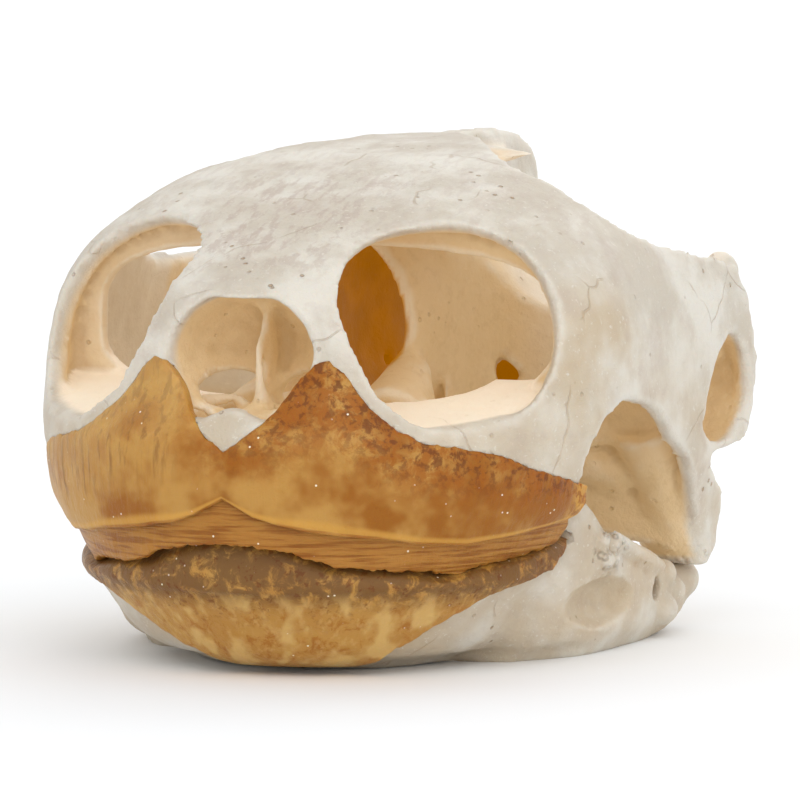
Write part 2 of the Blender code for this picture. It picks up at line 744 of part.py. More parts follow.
def cranium():
    """The skull's upper part, fused, thinned and cut to seat its beak."""
    pieces = [shell(), maxilla(), palate(), braincase(), roof_web()] + nose_cup() + occiput()
    paired = ear_cup() + quadrate() + [egg("corner_knob", *CORNER_KNOB)]
    pieces += paired + [mirrored(piece) for piece in paired]
    bone = thinned(fused(gathered("bone", pieces)), CRANIUM_TRIANGLES)
    return combine(bone, [upper_sheath("seat", 2.5, SEAT_IN, 0.4)], "DIFFERENCE")


def mandible():
    """The lower jaw's bone, cut to seat its beak and flat where it rests."""
    bone = thinned(fused(jaw_bone()), JAW_TRIANGLES)
    seat = lower_sheath("seat", 2.5, SEAT_IN, 0.5)
    return combine(bone, [seat, box("rest", (-40, -20, -9), (40, 80, REST_LEVEL))], "DIFFERENCE")


def centred(items):
    """Centres the skull on the origin and stands its lowest face on zero."""
    corners = [corner.co for item in items for corner in item.data.vertices]
    low = [min(corner[axis] for corner in corners) for axis in range(3)]
    high = [max(corner[axis] for corner in corners) for axis in range(3)]
    shift = Vector((-(low[0] + high[0]) / 2, -(low[1] + high[1]) / 2, -low[2]))
    for item in items:
        for corner in item.data.vertices:
            corner.co += shift


def main():
    """Builds the four sub-parts and centres them."""
    upper = upper_sheath("sheath", SHEATH_OUT, SHEATH_IN, 0.0)
    lower = lower_sheath("sheath", LOWER_SHEATH_OUT, SHEATH_IN, 0.0)
    centred([
        finished(cranium(), "cranium", IVORY, BONE_ROUGHNESS),
        finished(mandible(), "mandible", IVORY, BONE_ROUGHNESS),
        finished(upper, "upper_beak", AMBER, HORN_ROUGHNESS),
        finished(lower, "lower_beak", AMBER, HORN_ROUGHNESS),
    ])


for item in list(bpy.data.objects):
    bpy.data.objects.remove(item)
skull = bpy.data.collections.new("turtle_skull")
cutters = bpy.data.collections.new("cutters")
bpy.context.scene.collection.children.link(skull)
bpy.context.scene.collection.children.link(cutters)
main()
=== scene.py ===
"""A cleaned turtle skull with its horny beak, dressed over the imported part.

Shapes are worked in millimetres: X is the animal's left, Y runs back from the
nostril and Z is up. Each finished mesh is then moved to where the part stands.
"""
import math

import bpy
import numpy as np
from mathutils import Matrix, Vector, noise


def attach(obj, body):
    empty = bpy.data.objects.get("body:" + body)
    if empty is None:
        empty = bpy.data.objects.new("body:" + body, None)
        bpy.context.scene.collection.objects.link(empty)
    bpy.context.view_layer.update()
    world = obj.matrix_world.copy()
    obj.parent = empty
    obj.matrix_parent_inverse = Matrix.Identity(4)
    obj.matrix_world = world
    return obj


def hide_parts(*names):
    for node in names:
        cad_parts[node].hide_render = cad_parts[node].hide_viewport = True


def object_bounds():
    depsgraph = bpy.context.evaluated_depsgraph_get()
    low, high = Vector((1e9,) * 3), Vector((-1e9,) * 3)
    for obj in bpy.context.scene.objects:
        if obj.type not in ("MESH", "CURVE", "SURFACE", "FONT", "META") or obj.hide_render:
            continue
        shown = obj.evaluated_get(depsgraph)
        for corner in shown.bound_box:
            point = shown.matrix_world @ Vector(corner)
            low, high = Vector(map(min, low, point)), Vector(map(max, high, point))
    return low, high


bl_info = {
    "name": "Turtle Skull",
    "version": (1, 0, 0),
    "blender": (4, 5, 0),
    "location": "View3D > Sidebar > Skull",
    "description": "Models a turtle skull with its jaw and horny beak, and the studio it stands in",
    "category": "Add Mesh",
}

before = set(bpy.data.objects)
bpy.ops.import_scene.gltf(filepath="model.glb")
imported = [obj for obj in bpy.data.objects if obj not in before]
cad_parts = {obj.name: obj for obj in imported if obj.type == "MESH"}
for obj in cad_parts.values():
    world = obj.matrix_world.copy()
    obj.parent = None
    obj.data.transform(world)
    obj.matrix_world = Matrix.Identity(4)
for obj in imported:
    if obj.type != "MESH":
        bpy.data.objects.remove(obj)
CAD_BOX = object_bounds()
MM = 0.001
TO_PART = Vector((0.0, -30.869, 0.85))

HALF_WIDTH = 25.0
WIDEST_AT = 22.0
WIDEST_LEVEL = 21.5
BEAK_SPREAD = 80.0
LOWER_SPREAD = 88.0

# Roof height along the midline
ROOF_LINE = (
    (-4, 27.0), (-0.5, 29.4), (0.3, 30.4), (2, 31.7), (6.7, 33.9), (11, 35.7), (15, 37.1),
    (22, 39.2), (28, 40.5), (34, 41.2), (40, 41.5), (46, 41.5), (62, 40.5),
)

# Openings of the cranium; the nostril is half an outline, the rest are whole
NOSTRIL_HALF = (
    (0.0, 30.2), (2.8, 30.1), (4.8, 29.3), (5.9, 27.9), (6.3, 26.3), (6.1, 24.6),
    (5.3, 22.8), (4.1, 21.2), (2.4, 20.6), (0.0, 21.5),
)
NOSTRIL_RIGHT = 1.1
ORBIT_MIDDLE = (14.3, 8.9, 27.7)
ORBIT_AIM = (0.60, -0.68, 0.42)
ORBIT_OUTLINE = (
    (-9.1, 0.7), (-7.8, 5.0), (-4.9, 8.0), (-0.6, 9.4), (4.1, 9.1), (7.8, 6.1), (9.5, 1.5), (9.0, -3.3),
    (6.0, -7.3), (1.3, -9.3), (-3.4, -8.8), (-6.8, -5.5),
)
CHEEK_GAP = (
    (17.6, 3.0), (17.4, 12.0), (17.3, 15.9), (17.9, 18.0), (19.8, 19.8), (23.5, 20.9), (28.4, 20.1),
    (32.0, 18.8), (35.0, 16.8), (39.0, 14.6), (41.0, 12.5), (43.0, 10.0), (45.4, 7.4), (46.0, 6.0),
    (45.0, 4.6), (44.0, 3.0), (30.0, 1.0),
)
CHEEK_TAPER_AT = (20.0, 38.0)
CHEEK_TAPER = (0.19, 0.08)
EAR_GAP = (
    (48.8, 24.9), (47.2, 24.5), (45.2, 23.6), (43.2, 21.4), (41.6, 18.8), (41.3, 16.5), (42.4, 15.7),
    (46.0, 15.5), (50.6, 15.5), (51.7, 16.6), (51.8, 19.0), (51.0, 22.2), (49.8, 24.4),
)
BELOW_EAR = (
    (44.0, 14.6), (46.2, 12.6), (48.8, 10.6), (49.9, 8.6), (49.8, 6.6), (47.4, 4.9), (46.0, 3.0),
    (56.0, 1.0), (64.0, 3.0), (64.0, 13.0), (56.0, 14.9), (50.0, 15.0),
)
REAR_CUT = (
    (51.3, 14.0), (52.7, 16.5), (53.4, 19.5), (53.6, 23.0), (52.6, 26.2), (51.4, 28.6), (50.4, 30.4),
    (48.6, 32.0), (48.0, 50.0), (75.0, 52.0), (75.0, 2.0), (51.3, 2.0),
)
TEMPLE_START = (
    (14.0, 66.0), (2.4, 62.0), (2.2, 47.0), (3.6, 42.5), (6.4, 38.6), (9.6, 33.0), (12.8, 29.4),
)
TEMPLE_LEFT = (
    (16.0, 28.0), (18.8, 30.0), (20.8, 35.0), (22.2, 39.5), (23.4, 44.0), (24.5, 49.0), (24.6, 54.0),
    (23.0, 60.0),
)
TEMPLE_RIGHT = (
    (16.8, 29.8), (21.0, 31.8), (23.2, 35.0), (24.4, 39.2), (24.7, 44.0), (24.8, 49.0), (24.7, 54.0),
    (23.0, 60.0),
)
CREST = (
    (38.0, 40.0), (46.0, 41.3), (54.0, 41.4), (60.0, 40.7), (63.6, 39.2), (65.2, 36.8), (64.8, 34.4),
    (60.0, 32.6), (52.0, 31.0), (44.0, 35.0),
)

# Parts inside the cranium
MAXILLA = ((-5.0, 11.8), (21.5, 11.8), (21.5, 22.6), (14.0, 21.4), (6.0, 20.2), (-5.0, 19.0))
ORBIT_FLOOR_UNDERSIDE = 18.2
FLOOR_DIP = ((7.0, 20.0, 23.4), (7.0, 9.0, 4.6))
AIRWAY = ((3.6, 11.0, 19.0), (2.2, 4.2, 3.2))
FLANGE_SLAB = ((-40.0, 18.3, 20.4), (40.0, 19.9, 40.0))
FLANGE_WINDOW = ((0.0, 19.0, 27.0), (20.2, 4.0, 6.4))
PALATE_HALF = (
    (0.0, 0.5), (8.0, 1.8), (14.5, 6.0), (17.4, 12.0), (17.6, 17.0), (14.0, 22.0), (9.6, 27.0), (8.0, 33.0),
    (8.6, 39.0), (12.0, 44.0), (9.0, 49.0), (0.0, 51.0),
)
PALATE_WINDOWS = (((3.6, 11.5, 16.6), (2.2, 4.2, 4.0)), ((12.6, 23.0, 16.5), (2.2, 3.0, 4.0)))
BRAINCASE = (
    (24.4, 5.6, 18.0, 34.4, 1.7), (27.0, 6.4, 17.4, 36.2, 1.9), (31.0, 7.0, 16.6, 39.0, 2.3),
    (36.0, 7.4, 16.2, 40.6, 2.6), (41.0, 7.4, 16.0, 40.6, 2.6), (46.0, 5.8, 16.0, 39.0, 2.4),
    (50.0, 4.8, 16.6, 35.0, 2.2), (53.0, 4.6, 17.6, 31.0, 2.2),
)
BRAINCASE_WALL = 1.2
NERVE_WINDOW = ((6.4, 23.6), (7.0, 20.1), (9.8, 20.9))
NERVE_AT = 40.0
NERVE_SLANT = (-0.40, -0.09)
NERVE_DEPTHS = (30.5, 45.5)
SPINAL_HOLE = (((0.0, 48.0, 24.6), (0.0, 58.0, 24.6)), (3.3, 3.4))
WALL_SCOOP = ((8.2, 32.4, 20.8), (2.1, 4.6, 3.0))
WALL_FOOT = (((4.8, 26.4, 26.0), (5.0, 25.2, 23.0), (5.3, 22.6, 20.4), (5.8, 18.8, 18.4)), (0.9, 1.7, 2.9, 3.6))
BUTTRESS = (
    (6.4, 29.5), (7.7, 33.0), (9.4, 35.8), (12.0, 37.8), (16.0, 39.4), (20.0, 41.0), (20.0, 42.6), (6.4, 42.6),
)
BUTTRESS_FRONT = (
    (6.0, 15.6), (20.4, 15.6), (20.4, 26.8), (14.8, 26.8), (11.8, 27.4), (9.8, 28.8), (8.4, 31.0), (6.4, 33.6),
)
BUTTRESS_REACH = ((14.0, 36.0), (28.0, 44.0))
ROOF_WEB = (
    (20.0, 37.2, 2.0), (24.0, 33.5, 2.6), (28.0, 36.0, 5.0), (34.0, 38.0, 7.0), (42.0, 38.5, 6.6),
    (46.0, 38.5, 3.0),
)
NOSE_CUP = ((0.0, 1.0, 25.6), (6.9, 8.9, 5.7))
NOSE_HOLLOW = ((0.0, 0.4, 25.7), (6.2, 8.3, 5.0))
NOSE_PASSAGE = ((3.3, 6.6, 21.6), (2.9, 4.4, 2.3))
NOSE_SHELF = (((5.6, 5.2, 21.4), (3.0, 6.6, 21.6), (0.4, 5.4, 20.2)), (0.7, 0.45, 0.8))
SEPTUM = ((-0.45, 5.6, 20.6), (0.45, 9.2, 29.8))
SEPTUM_EDGE = (((0.2, 6.6, 30.2), (0.0, 4.6, 26.4), (0.1, 4.2, 23.6), (0.3, 4.8, 20.6)), (0.5, 0.45, 0.45, 0.9))
EAR_CUP = ((19.8, 46.6, 20.6), (7.4, 7.2, 6.5))
EAR_HOLLOW = ((22.6, 46.2, 20.2), (6.0, 6.2, 5.0))
EAR_FOSSA = ((19.4, 48.0, 22.6), (5.0, 3.4, 2.4))
OTIC = ((12.4, 46.4, 20.8), (7.0, 7.0, 6.2))
OTIC_RIDGE = (((7.0, 40.6, 25.4), (11.0, 40.2, 24.8), (15.5, 41.2, 23.0), (18.5, 43.0, 20.0)), (0.9, 0.7, 0.6, 0.8))
EAR_BAR = (((20.6, 42.2, 19.4), (19.8, 45.8, 19.6), (20.6, 49.6, 21.2), (22.4, 51.4, 23.0)), (0.8, 0.6, 0.6, 0.9))
PILLAR = (
    ((20.0, 42.0, 17.0), (20.6, 43.4, 13.0), (21.0, 45.4, 9.4), (20.6, 46.8, 7.6)),
    (3.4, 2.5, 2.3, 2.6),
)
QUADRATE = (
    (8.4, 15.6), (11.4, 12.2), (13.8, 8.8), (16.8, 7.0), (23.0, 6.6), (23.8, 12.0), (24.4, 18.0),
    (24.6, 26.4), (18.0, 26.8), (11.8, 27.4), (9.8, 28.8), (8.4, 31.0), (6.4, 33.6),
)
CONDYLE = ((20.2, 47.0, 6.9), (3.0, 2.0, 1.6))
JOINT_FOOT = (((21.4, 45.4, 10.0), (22.3, 46.3, 7.6), (22.8, 46.9, 5.9), (22.8, 47.2, 5.0)), (2.0, 1.7, 1.2, 0.7))
CHEEK_RIDGE = (((22.0, 41.2, 19.6), (20.6, 42.0, 15.6), (20.4, 43.2, 12.2), (21.2, 44.6, 9.2)), (0.9, 0.7, 0.7, 0.9))
PTERYGOID = (((7.6, 34.0, 16.4), (12.0, 39.0, 15.6), (17.6, 43.4, 12.6)), (1.2, 1.7, 1.9))
BACK_KNOB = ((0.0, 54.6, 18.4), (2.1, 2.4, 1.8))
CORNER_KNOB = ((23.0, 51.4, 29.6), (1.6, 1.7, 1.9))

# Upper beak, by degrees round from the midline: top edge, cutting edge and lip
UPPER_TOP = (
    (0, 18.0), (4, 19.2), (9, 21.1), (13, 23.3), (17, 25.0), (20, 25.2), (23, 24.4), (28, 21.6), (33, 19.8),
    (38, 18.8), (46, 18.2), (54, 17.6), (60, 16.5), (68, 15.6), (80, 14.3),
)
UPPER_EDGE = (
    (0, 14.3), (3, 13.6), (6, 12.9), (10, 12.4), (16, 12.0), (22, 11.6), (29, 11.3), (38, 10.7), (48, 10.4),
    (60, 10.8), (80, 11.8),
)
LIP_EDGE = (
    (0, 11.0), (10, 10.6), (17, 9.9), (22, 9.1), (38, 8.7), (47, 8.1), (58, 8.7), (70, 9.2), (80, 9.8),
    (88, 10.0),
)

LIP_DROP = 0.3

# Lower beak profile: how far in from the widest outline, and height
JAW_TOP = 11.0
JAW_RISE = ((2.9, 1.5), (2.3, 0.6), (1.55, 0.0), (0.7, -0.8))
JAW_RISE_SIDE = 1.4
JAW_PROFILE = (
    (0.35, 7.0), (0.8, 6.2), (1.4, 5.3), (2.1, 4.3), (2.9, 3.2), (3.8, 1.9), (5.0, 0.8), (6.6, 0.2),
    (8.2, 0.0),
)
JAW_END_RIGHT = (
    (0, 1.0), (8, 0.95), (12, 0.88), (18, 0.80), (26, 0.71), (33, 0.61), (45, 0.44), (60, 0.40), (72, 0.36),
    (80, 0.33), (88, 0.22),
)
JAW_END_LEFT = (
    (0, 1.0), (30, 0.95), (36, 0.84), (40, 0.76), (45, 0.70), (50, 0.63), (60, 0.46), (70, 0.36), (76, 0.32),
    (88, 0.24),
)
JAW_HALF_WIDTH = 21.2
JAW_FRONT = -1.5
RAMUS = (
    (21.6, 20.0, 9.4, -1.2, 4.0), (22.1, 22.5, 12.6, -1.3, 3.8), (22.3, 24.5, 12.2, -1.3, 3.6),
    (22.6, 27.5, 9.8, -1.3, 3.6), (22.7, 31.5, 8.0, -1.3, 4.0), (22.6, 37.0, 6.8, -1.3, 4.6),
    (22.4, 41.0, 5.6, -1.2, 5.4), (22.2, 45.0, 4.6, -0.6, 6.0), (21.6, 48.5, 4.4, 0.8, 5.6),
    (20.4, 50.6, 3.8, 2.0, 3.0),
)
RAMUS_LEAN_AT = (20.0, 26.0, 44.0)
RAMUS_LEAN = (0.6, 0.25, 0.1)
CHEEK_PIT = ((23.2, 25.0, 3.6), (3.4, 7.8, 2.5))
MUSCLE_PIT = ((19.8, 33.0, 9.0), (1.6, 4.2, 2.4))
JAW_NERVE = (((24.0, 38.2, 3.4), (19.6, 39.4, 3.8)), (1.3, 0.7))
JAW_GROOVE = (((23.6, 29.0, 9.8), (23.4, 30.4, 8.2), (23.6, 31.4, 6.8)), (0.7, 0.8, 0.5))
JAW_HOLLOW = ((24.0, 26.4, 8.4), (2.0, 2.0, 1.8))
JAW_LUMPS = (
    ((22.2, 25.4, 7.4), 0.9), ((22.3, 26.9, 7.2), 0.8), ((22.2, 27.4, 8.4), 0.7), ((22.0, 25.4, 9.0), 0.8),
    ((21.2, 36.4, 5.8), 1.4), ((21.2, 41.6, 4.6), 1.4), ((21.1, 44.4, 2.8), 1.4), ((20.0, 48.0, 3.4), 2.2),
    ((18.9, 49.0, 3.0), 1.9), ((21.4, 41.0, 1.6), 1.6),
)
JAW_CRUST = ((22.6, 26.4, 8.0), (2.0, 3.4, 2.4))
JAW_CREST = (((22.2, 27.6, 9.2), (22.2, 31.6, 7.6), (22.0, 36.0, 6.4), (21.8, 40.0, 5.4)), (0.5, 0.8, 0.9, 0.7))


class SkullSizes(bpy.types.PropertyGroup):
    """Sizes that a user may change."""

    bone_grain: bpy.props.FloatProperty(
        name="Bone grain",
        description="Size of the small cubes in which the bone is fused",
        default=0.46 * MM,
        unit="LENGTH",
    )
    jaw_grain: bpy.props.FloatProperty(
        name="Jaw grain",
        description="Size of the small cubes in which the jaw's bone is fused",
        default=0.3 * MM,
        unit="LENGTH",
    )
    bone_wall: bpy.props.FloatProperty(
        name="Bone wall",
        description="Thickness of the skull's outer wall",
        default=1.7 * MM,
        unit="LENGTH",
    )
    horn_wall: bpy.props.FloatProperty(
        name="Horn wall",
        description="How far the beak reaches under the bone's surface",
        default=0.85 * MM,
        unit="LENGTH",
    )
    horn_lift: bpy.props.FloatProperty(
        name="Horn lift",
        description="How far the beak stands proud of the bone",
        default=0.42 * MM,
        unit="LENGTH",
    )
    raggedness: bpy.props.FloatProperty(
        name="Raggedness",
        description="How far the worn edges of bone and horn wander",
        default=0.3 * MM,
        unit="LENGTH",
    )
    camera_distance: bpy.props.FloatProperty(
        name="Camera distance",
        description="Distance from the camera to the middle of the picture",
        default=650.0 * MM,
        unit="LENGTH",
    )
    floor_size: bpy.props.FloatProperty(
        name="Floor size",
        description="Side of the pale floor",
        default=3.0,
        unit="LENGTH",
    )


def colour(name, description, value):
    """A colour setting with its default."""
    return bpy.props.FloatVectorProperty(
        name=name, description=description, subtype="COLOR", size=4, min=0.0, max=1.0, default=(*value, 1.0)
    )


class SkullColours(bpy.types.PropertyGroup):
    """Colours that a user may change."""

    bone: colour("Bone", "Clean outer bone", (0.56, 0.50, 0.41))
    # Pale tone in random patches and flecks, and a painted highlight on ridges.
    bone_pale_and_ridge_highlight: colour("Pale bone", "Frosted rims and ridges", (0.70, 0.66, 0.58))
    bone_warm: colour("Warm bone", "Cream of the cheeks and lower sides", (0.54, 0.43, 0.29))
    bone_stain: colour("Bone stain", "Grey-pink stain in the bone", (0.45, 0.35, 0.29))
    # Brown of real pores and seams, and painted shade in creases and hollows.
    bone_pore_and_crease_shade: colour("Bone pore", "Brown of pores and seams", (0.36, 0.21, 0.09))
    # Painted light: bright cream that lights the upward-facing orbit floors.
    orbit_floor_painted_light: colour("Orbit floor", "Bright cream floor of the orbits", (0.86, 0.75, 0.59))
    # Painted warm bounce light and shade for the hollows inside the wall.
    hollow_painted_bounce_light: colour("Bone inside", "Warm bone in the hollows", (0.66, 0.48, 0.25))
    # Painted warm light on the braincase's thin wall, in lighter and darker patches.
    brain_painted_warm_light: colour("Brain wall", "Thin amber wall of the braincase", (0.52, 0.245, 0.004))
    brain_painted_warm_light_dark: colour("Deep brain wall", "Darker patches of the braincase's wall", (0.38, 0.15, 0.002))
    # Painted glow: emission colours that light the hollows, the braincase and the pale floors from inside.
    hollow_painted_glow: colour("Inside glow", "Light that comes through the bone into the hollows", (0.60, 0.38, 0.15))
    brain_painted_glow: colour("Brain glow", "Light that comes through the braincase's wall", (0.80, 0.34, 0.0))
    pale_painted_glow: colour("Pale glow", "Light on the pale floors inside", (0.85, 0.70, 0.52))
    no_glow: colour("No glow", "Outer bone, which shows no light from behind", (0.0, 0.0, 0.0))
    horn: colour("Horn", "Amber middle of the beak", (0.315, 0.108, 0.005))
    horn_pale: colour("Pale horn", "Lightest streaks of the beak", (0.50, 0.265, 0.060))
    horn_light: colour("Light horn", "Yellow streaks of the lower beak", (0.66, 0.43, 0.15))
    horn_orange: colour("Orange horn", "Deep orange stains of the beak", (0.33, 0.095, 0.002))
    horn_brown: colour("Brown horn", "Mottling of the beak", (0.15, 0.038, 0.003))
    horn_gold: colour("Golden horn", "Line above the cutting edge and flakes at the rear", (0.62, 0.33, 0.06))
    horn_lip: colour("Lip fibres", "Light layers of the fleshy lip", (0.43, 0.19, 0.032))
    lip_dark: colour("Lip seams", "Dark layers of the fleshy lip", (0.27, 0.09, 0.008))
    # Partly dry flakes, partly painted glints.
    horn_flake_and_glint: colour("Horn specks", "Dry flakes that catch the light", (0.90, 0.82, 0.66))
    # Grey-brown smoke of the horn, and painted shadow under the upper beak's lip.
    horn_smoke_and_lip_shadow: colour("Dark horn", "Grey-brown blotches of the lower beak", (0.12, 0.052, 0.016))


def sizes():
    return bpy.context.scene.skull_sizes


def tints():
    return bpy.context.scene.skull_colours


def along(table, at):
    """Value of a table of pairs at a distance, between its entries."""
    return np.interp(at, [row[0] for row in table], [row[1] for row in table])


def smoothstep(low, high, value):
    share = np.clip((value - low) / (high - low), 0.0, 1.0)
    return share * share * (3.0 - 2.0 * share)


def inside_head(points):
    """Which points lie inside the smooth outer form of the head."""
    across = np.abs(points[..., 0])
    back = points[..., 1]
    up = points[..., 2]
    front = -0.5 - 2.5 * smoothstep(0.0, 5.5, 23.5 - up)
    turn = np.clip((WIDEST_AT - back) / (WIDEST_AT - front), 0.0, 1.0)
    width = (HALF_WIDTH + np.clip(back - WIDEST_AT, 0.0, 30.0) * 0.025) * np.sqrt(1.0 - turn * turn)
    width = np.maximum(width, 1e-6)
    arch = np.interp(back, (8.0, 18.0), (2.2, 2.95))
    rise = np.clip((up - WIDEST_LEVEL) / (along(ROOF_LINE, back) - WIDEST_LEVEL), 0.0, 2.0)
    taper = np.interp(back, CHEEK_TAPER_AT, CHEEK_TAPER)
    drop = np.clip((WIDEST_LEVEL - up) / 13.5, 0.0, 1.0)
    dome = (across / width) ** arch + rise ** arch < 1.0
    cheek = across < width * (1.0 - taper * drop * drop)
    return np.where(up >= WIDEST_LEVEL, dome, cheek) & (up > 5.0) & (back < 58.0) & (back > front)


def reach(starts, directions, longest=70.0):
    """Distance from each start to the head's surface, by halving."""
    near = np.zeros(len(starts))
    far = np.full(len(starts), longest)
    for _ in range(22):
        middle = (near + far) / 2.0
        within = inside_head(starts + directions * middle[:, None])
        near = np.where(within, middle, near)
        far = np.where(within, far, middle)
    return near


def wander(points, size, seed=0.0):
    """Smooth noise from -1 to 1 at each point, for features of a size in millimetres."""
    shift = Vector((seed * 3.1, seed * 7.7, seed * 5.3))
    return np.array([noise.noise(Vector(point) / size + shift) for point in points])


def only(item):
    """Makes an object the one that operators act on."""
    bpy.ops.object.select_all(action="DESELECT")
    item.select_set(True)
    bpy.context.view_layer.objects.active = item
    return item


def fresh(name):
    """Names the primitive just added."""
    item = bpy.context.view_layer.objects.active
    item.name = name
    item.data.name = name
    return item


def points_of(item):
    """The vertices of a mesh in millimetres."""
    flat = np.empty(len(item.data.vertices) * 3)
    item.data.vertices.foreach_get("co", flat)
    return flat.reshape(-1, 3) / MM


def put_points(item, points):
    """Moves the vertices of a mesh to places in millimetres."""
    item.data.vertices.foreach_set("co", (np.asarray(points, float) * MM).ravel())
    item.data.update()
    return item


def outward(item):
    """Turns the faces of a closed mesh outward."""
    only(item)
    bpy.ops.object.mode_set(mode="EDIT")
    bpy.ops.mesh.select_all(action="SELECT")
    bpy.ops.mesh.normals_make_consistent(inside=False)
    bpy.ops.object.mode_set(mode="OBJECT")
    return item


def ball(name, fineness):
    """A round ball and the directions of its vertices."""
    bpy.ops.object.select_all(action="DESELECT")
    bpy.ops.mesh.primitive_ico_sphere_add(subdivisions=fineness, radius=MM)
    item = fresh(name)
    directions = points_of(item)
    return item, directions / np.linalg.norm(directions, axis=1)[:, None]


def egg(name, middle, radii, fineness=5, roundness=1.0):
    """A ball stretched to three radii, and made boxy by a roundness under 1."""
    item, directions = ball(name, fineness)
    swollen = np.sign(directions) * np.abs(directions) ** roundness
    return put_points(item, np.array(middle) + swollen * np.array(radii))


def head_form(name, inset, fineness=6):
    """A ball drawn out to the head's outer form, set in by a wall."""
    item, directions = ball(name, fineness)
    directions = directions * (0.9, 1.15, 0.8)
    directions = directions / np.linalg.norm(directions, axis=1)[:, None]
    middle = np.array((0.0, 26.0, 21.0))
    distances = reach(np.tile(middle, (len(directions), 1)), directions) - inset
    return put_points(item, middle + directions * distances[:, None])


def rounded(points, steps=8, ragged=0.0, size=1.4):
    """A closed curve drawn smoothly through a few points, with a worn edge if asked."""
    corners = [Vector(point) for point in points]
    count = len(corners)
    curve = []
    for index in range(count):
        before, start, end, after = (corners[(index + shift) % count] for shift in (-1, 0, 1, 2))
        for step in range(steps):
            t = step / steps
            bend = (2 * before - 5 * start + 4 * end - after) * t * t
            bend += (3 * start - before - 3 * end + after) * t**3
            curve.append(0.5 * (2 * start + (end - before) * t + bend))
    if ragged:
        for index, spot in enumerate(curve):
            place = Vector((spot.x, spot.y, 3.0)) / size
            push = noise.noise_vector(place) + 0.6 * noise.noise_vector(place * 2.7)
            curve[index] = spot + ragged * push.to_2d()
    return curve


def prism(name, outline, place, depths):
    """A cylinder whose two ends are drawn to an outline, put in space by place(u, v, depth)."""
    bpy.ops.object.select_all(action="DESELECT")
    bpy.ops.mesh.primitive_cylinder_add(vertices=len(outline), end_fill_type="NGON")
    item = fresh(name)
    points = points_of(item)
    top = points[:, 2] > 0.0
    points[~top] = [tuple(place(u, v, depths[0])) for u, v in outline]
    points[top] = [tuple(place(u, v, depths[1])) for u, v in outline]
    return outward(put_points(item, points))


def block(name, low, high):
    """A block between two corners."""
    bpy.ops.object.select_all(action="DESELECT")
    bpy.ops.mesh.primitive_cube_add(size=2.0 * MM)
    item = fresh(name)
    low, high = np.array(low, float), np.array(high, float)
    return put_points(item, (low + high) / 2 + points_of(item) * (high - low) / 2)


def skin(name, rings, tags=None):
    """A grid drawn over closed rings of points, its seam merged and its ends filled."""
    rows = np.array([[tuple(point) for point in ring] for ring in rings], float)
    rows = np.concatenate([rows, rows[:, :1]], axis=1)
    bpy.ops.object.select_all(action="DESELECT")
    bpy.ops.mesh.primitive_grid_add(x_subdivisions=rows.shape[1] - 1, y_subdivisions=rows.shape[0] - 1)
    item = put_points(fresh(name), rows.reshape(-1, 3))
    for tag, values in (tags or {}).items():
        values = np.concatenate([values, values[:, :1]], axis=1)
        item.data.attributes.new(tag, "FLOAT", "POINT").data.foreach_set("value", values.ravel())
    only(item)
    bpy.ops.object.mode_set(mode="EDIT")
    bpy.ops.mesh.select_all(action="SELECT")
    bpy.ops.mesh.remove_doubles(threshold=0.002 * MM)
    bpy.ops.mesh.select_all(action="DESELECT")
    bpy.ops.mesh.select_mode(type="EDGE")
    bpy.ops.mesh.select_non_manifold(extend=False, use_wire=False, use_multi_face=False)
    bpy.ops.mesh.fill_holes(sides=0)
    bpy.ops.mesh.select_mode(type="VERT")
    bpy.ops.object.mode_set(mode="OBJECT")
    return outward(item)


def rod(name, points, radii, sides=20):
    """A tapering rod, skinned over rings round its path."""
    rings = []
    for index, point in enumerate(points):
        after = Vector(points[min(index + 1, len(points) - 1)])
        before = Vector(points[max(index - 1, 0)])
        run = (after - before).normalized()
        side = run.cross(Vector((0, 0, 1)) if abs(run.z) < 0.9 else Vector((0, 1, 0))).normalized()
        rise = side.cross(run)
        turns = [2 * math.pi * step / sides for step in range(sides)]
        rings.append([Vector(point) + radii[index] * (math.cos(turn) * side + math.sin(turn) * rise) for turn in turns])
    return skin(name, rings)


def sideways(name, outline, half_length=32.0, steps=6, ragged=0.0):
    """A solid right across the skull, outlined from the side."""
    return prism(name, rounded(outline, steps, ragged), lambda u, v, d: (d, u, v), (-half_length, half_length))


def apply_last(item):
    """Applies the last modifier of an object."""
    only(item)
    bpy.ops.object.modifier_apply(modifier=item.modifiers[-1].name)
    return item


def combine(base, tools, operation):
    """A Boolean with each tool in turn; the tools are used up."""
    for tool in tools:
        change = base.modifiers.new(tool.name, "BOOLEAN")
        change.operation = operation
        change.solver = "EXACT"
        change.object = tool
        apply_last(base)
        bpy.data.objects.remove(tool)
    if not len(base.data.vertices):
        raise RuntimeError(f"{base.name} was cut away")
    return base


def mirrored(item):
    """A copy on the other side of the midline."""
    only(item)
    bpy.ops.object.duplicate()
    copy = bpy.context.view_layer.objects.active
    points = points_of(copy)
    put_points(copy, points * (-1.0, 1.0, 1.0))
    bpy.ops.object.mode_set(mode="EDIT")
    bpy.ops.mesh.select_all(action="SELECT")
    bpy.ops.mesh.flip_normals()
    bpy.ops.object.mode_set(mode="OBJECT")
    return copy


def keep_largest(item):
    """Drops the crumbs that fusing leaves loose."""
    bpy.ops.mesh.separate(type="LOOSE")
    *crumbs, kept = sorted(bpy.context.selected_objects, key=lambda part: len(part.data.vertices))
    for crumb in crumbs:
        bpy.data.objects.remove(crumb)
    return only(kept)


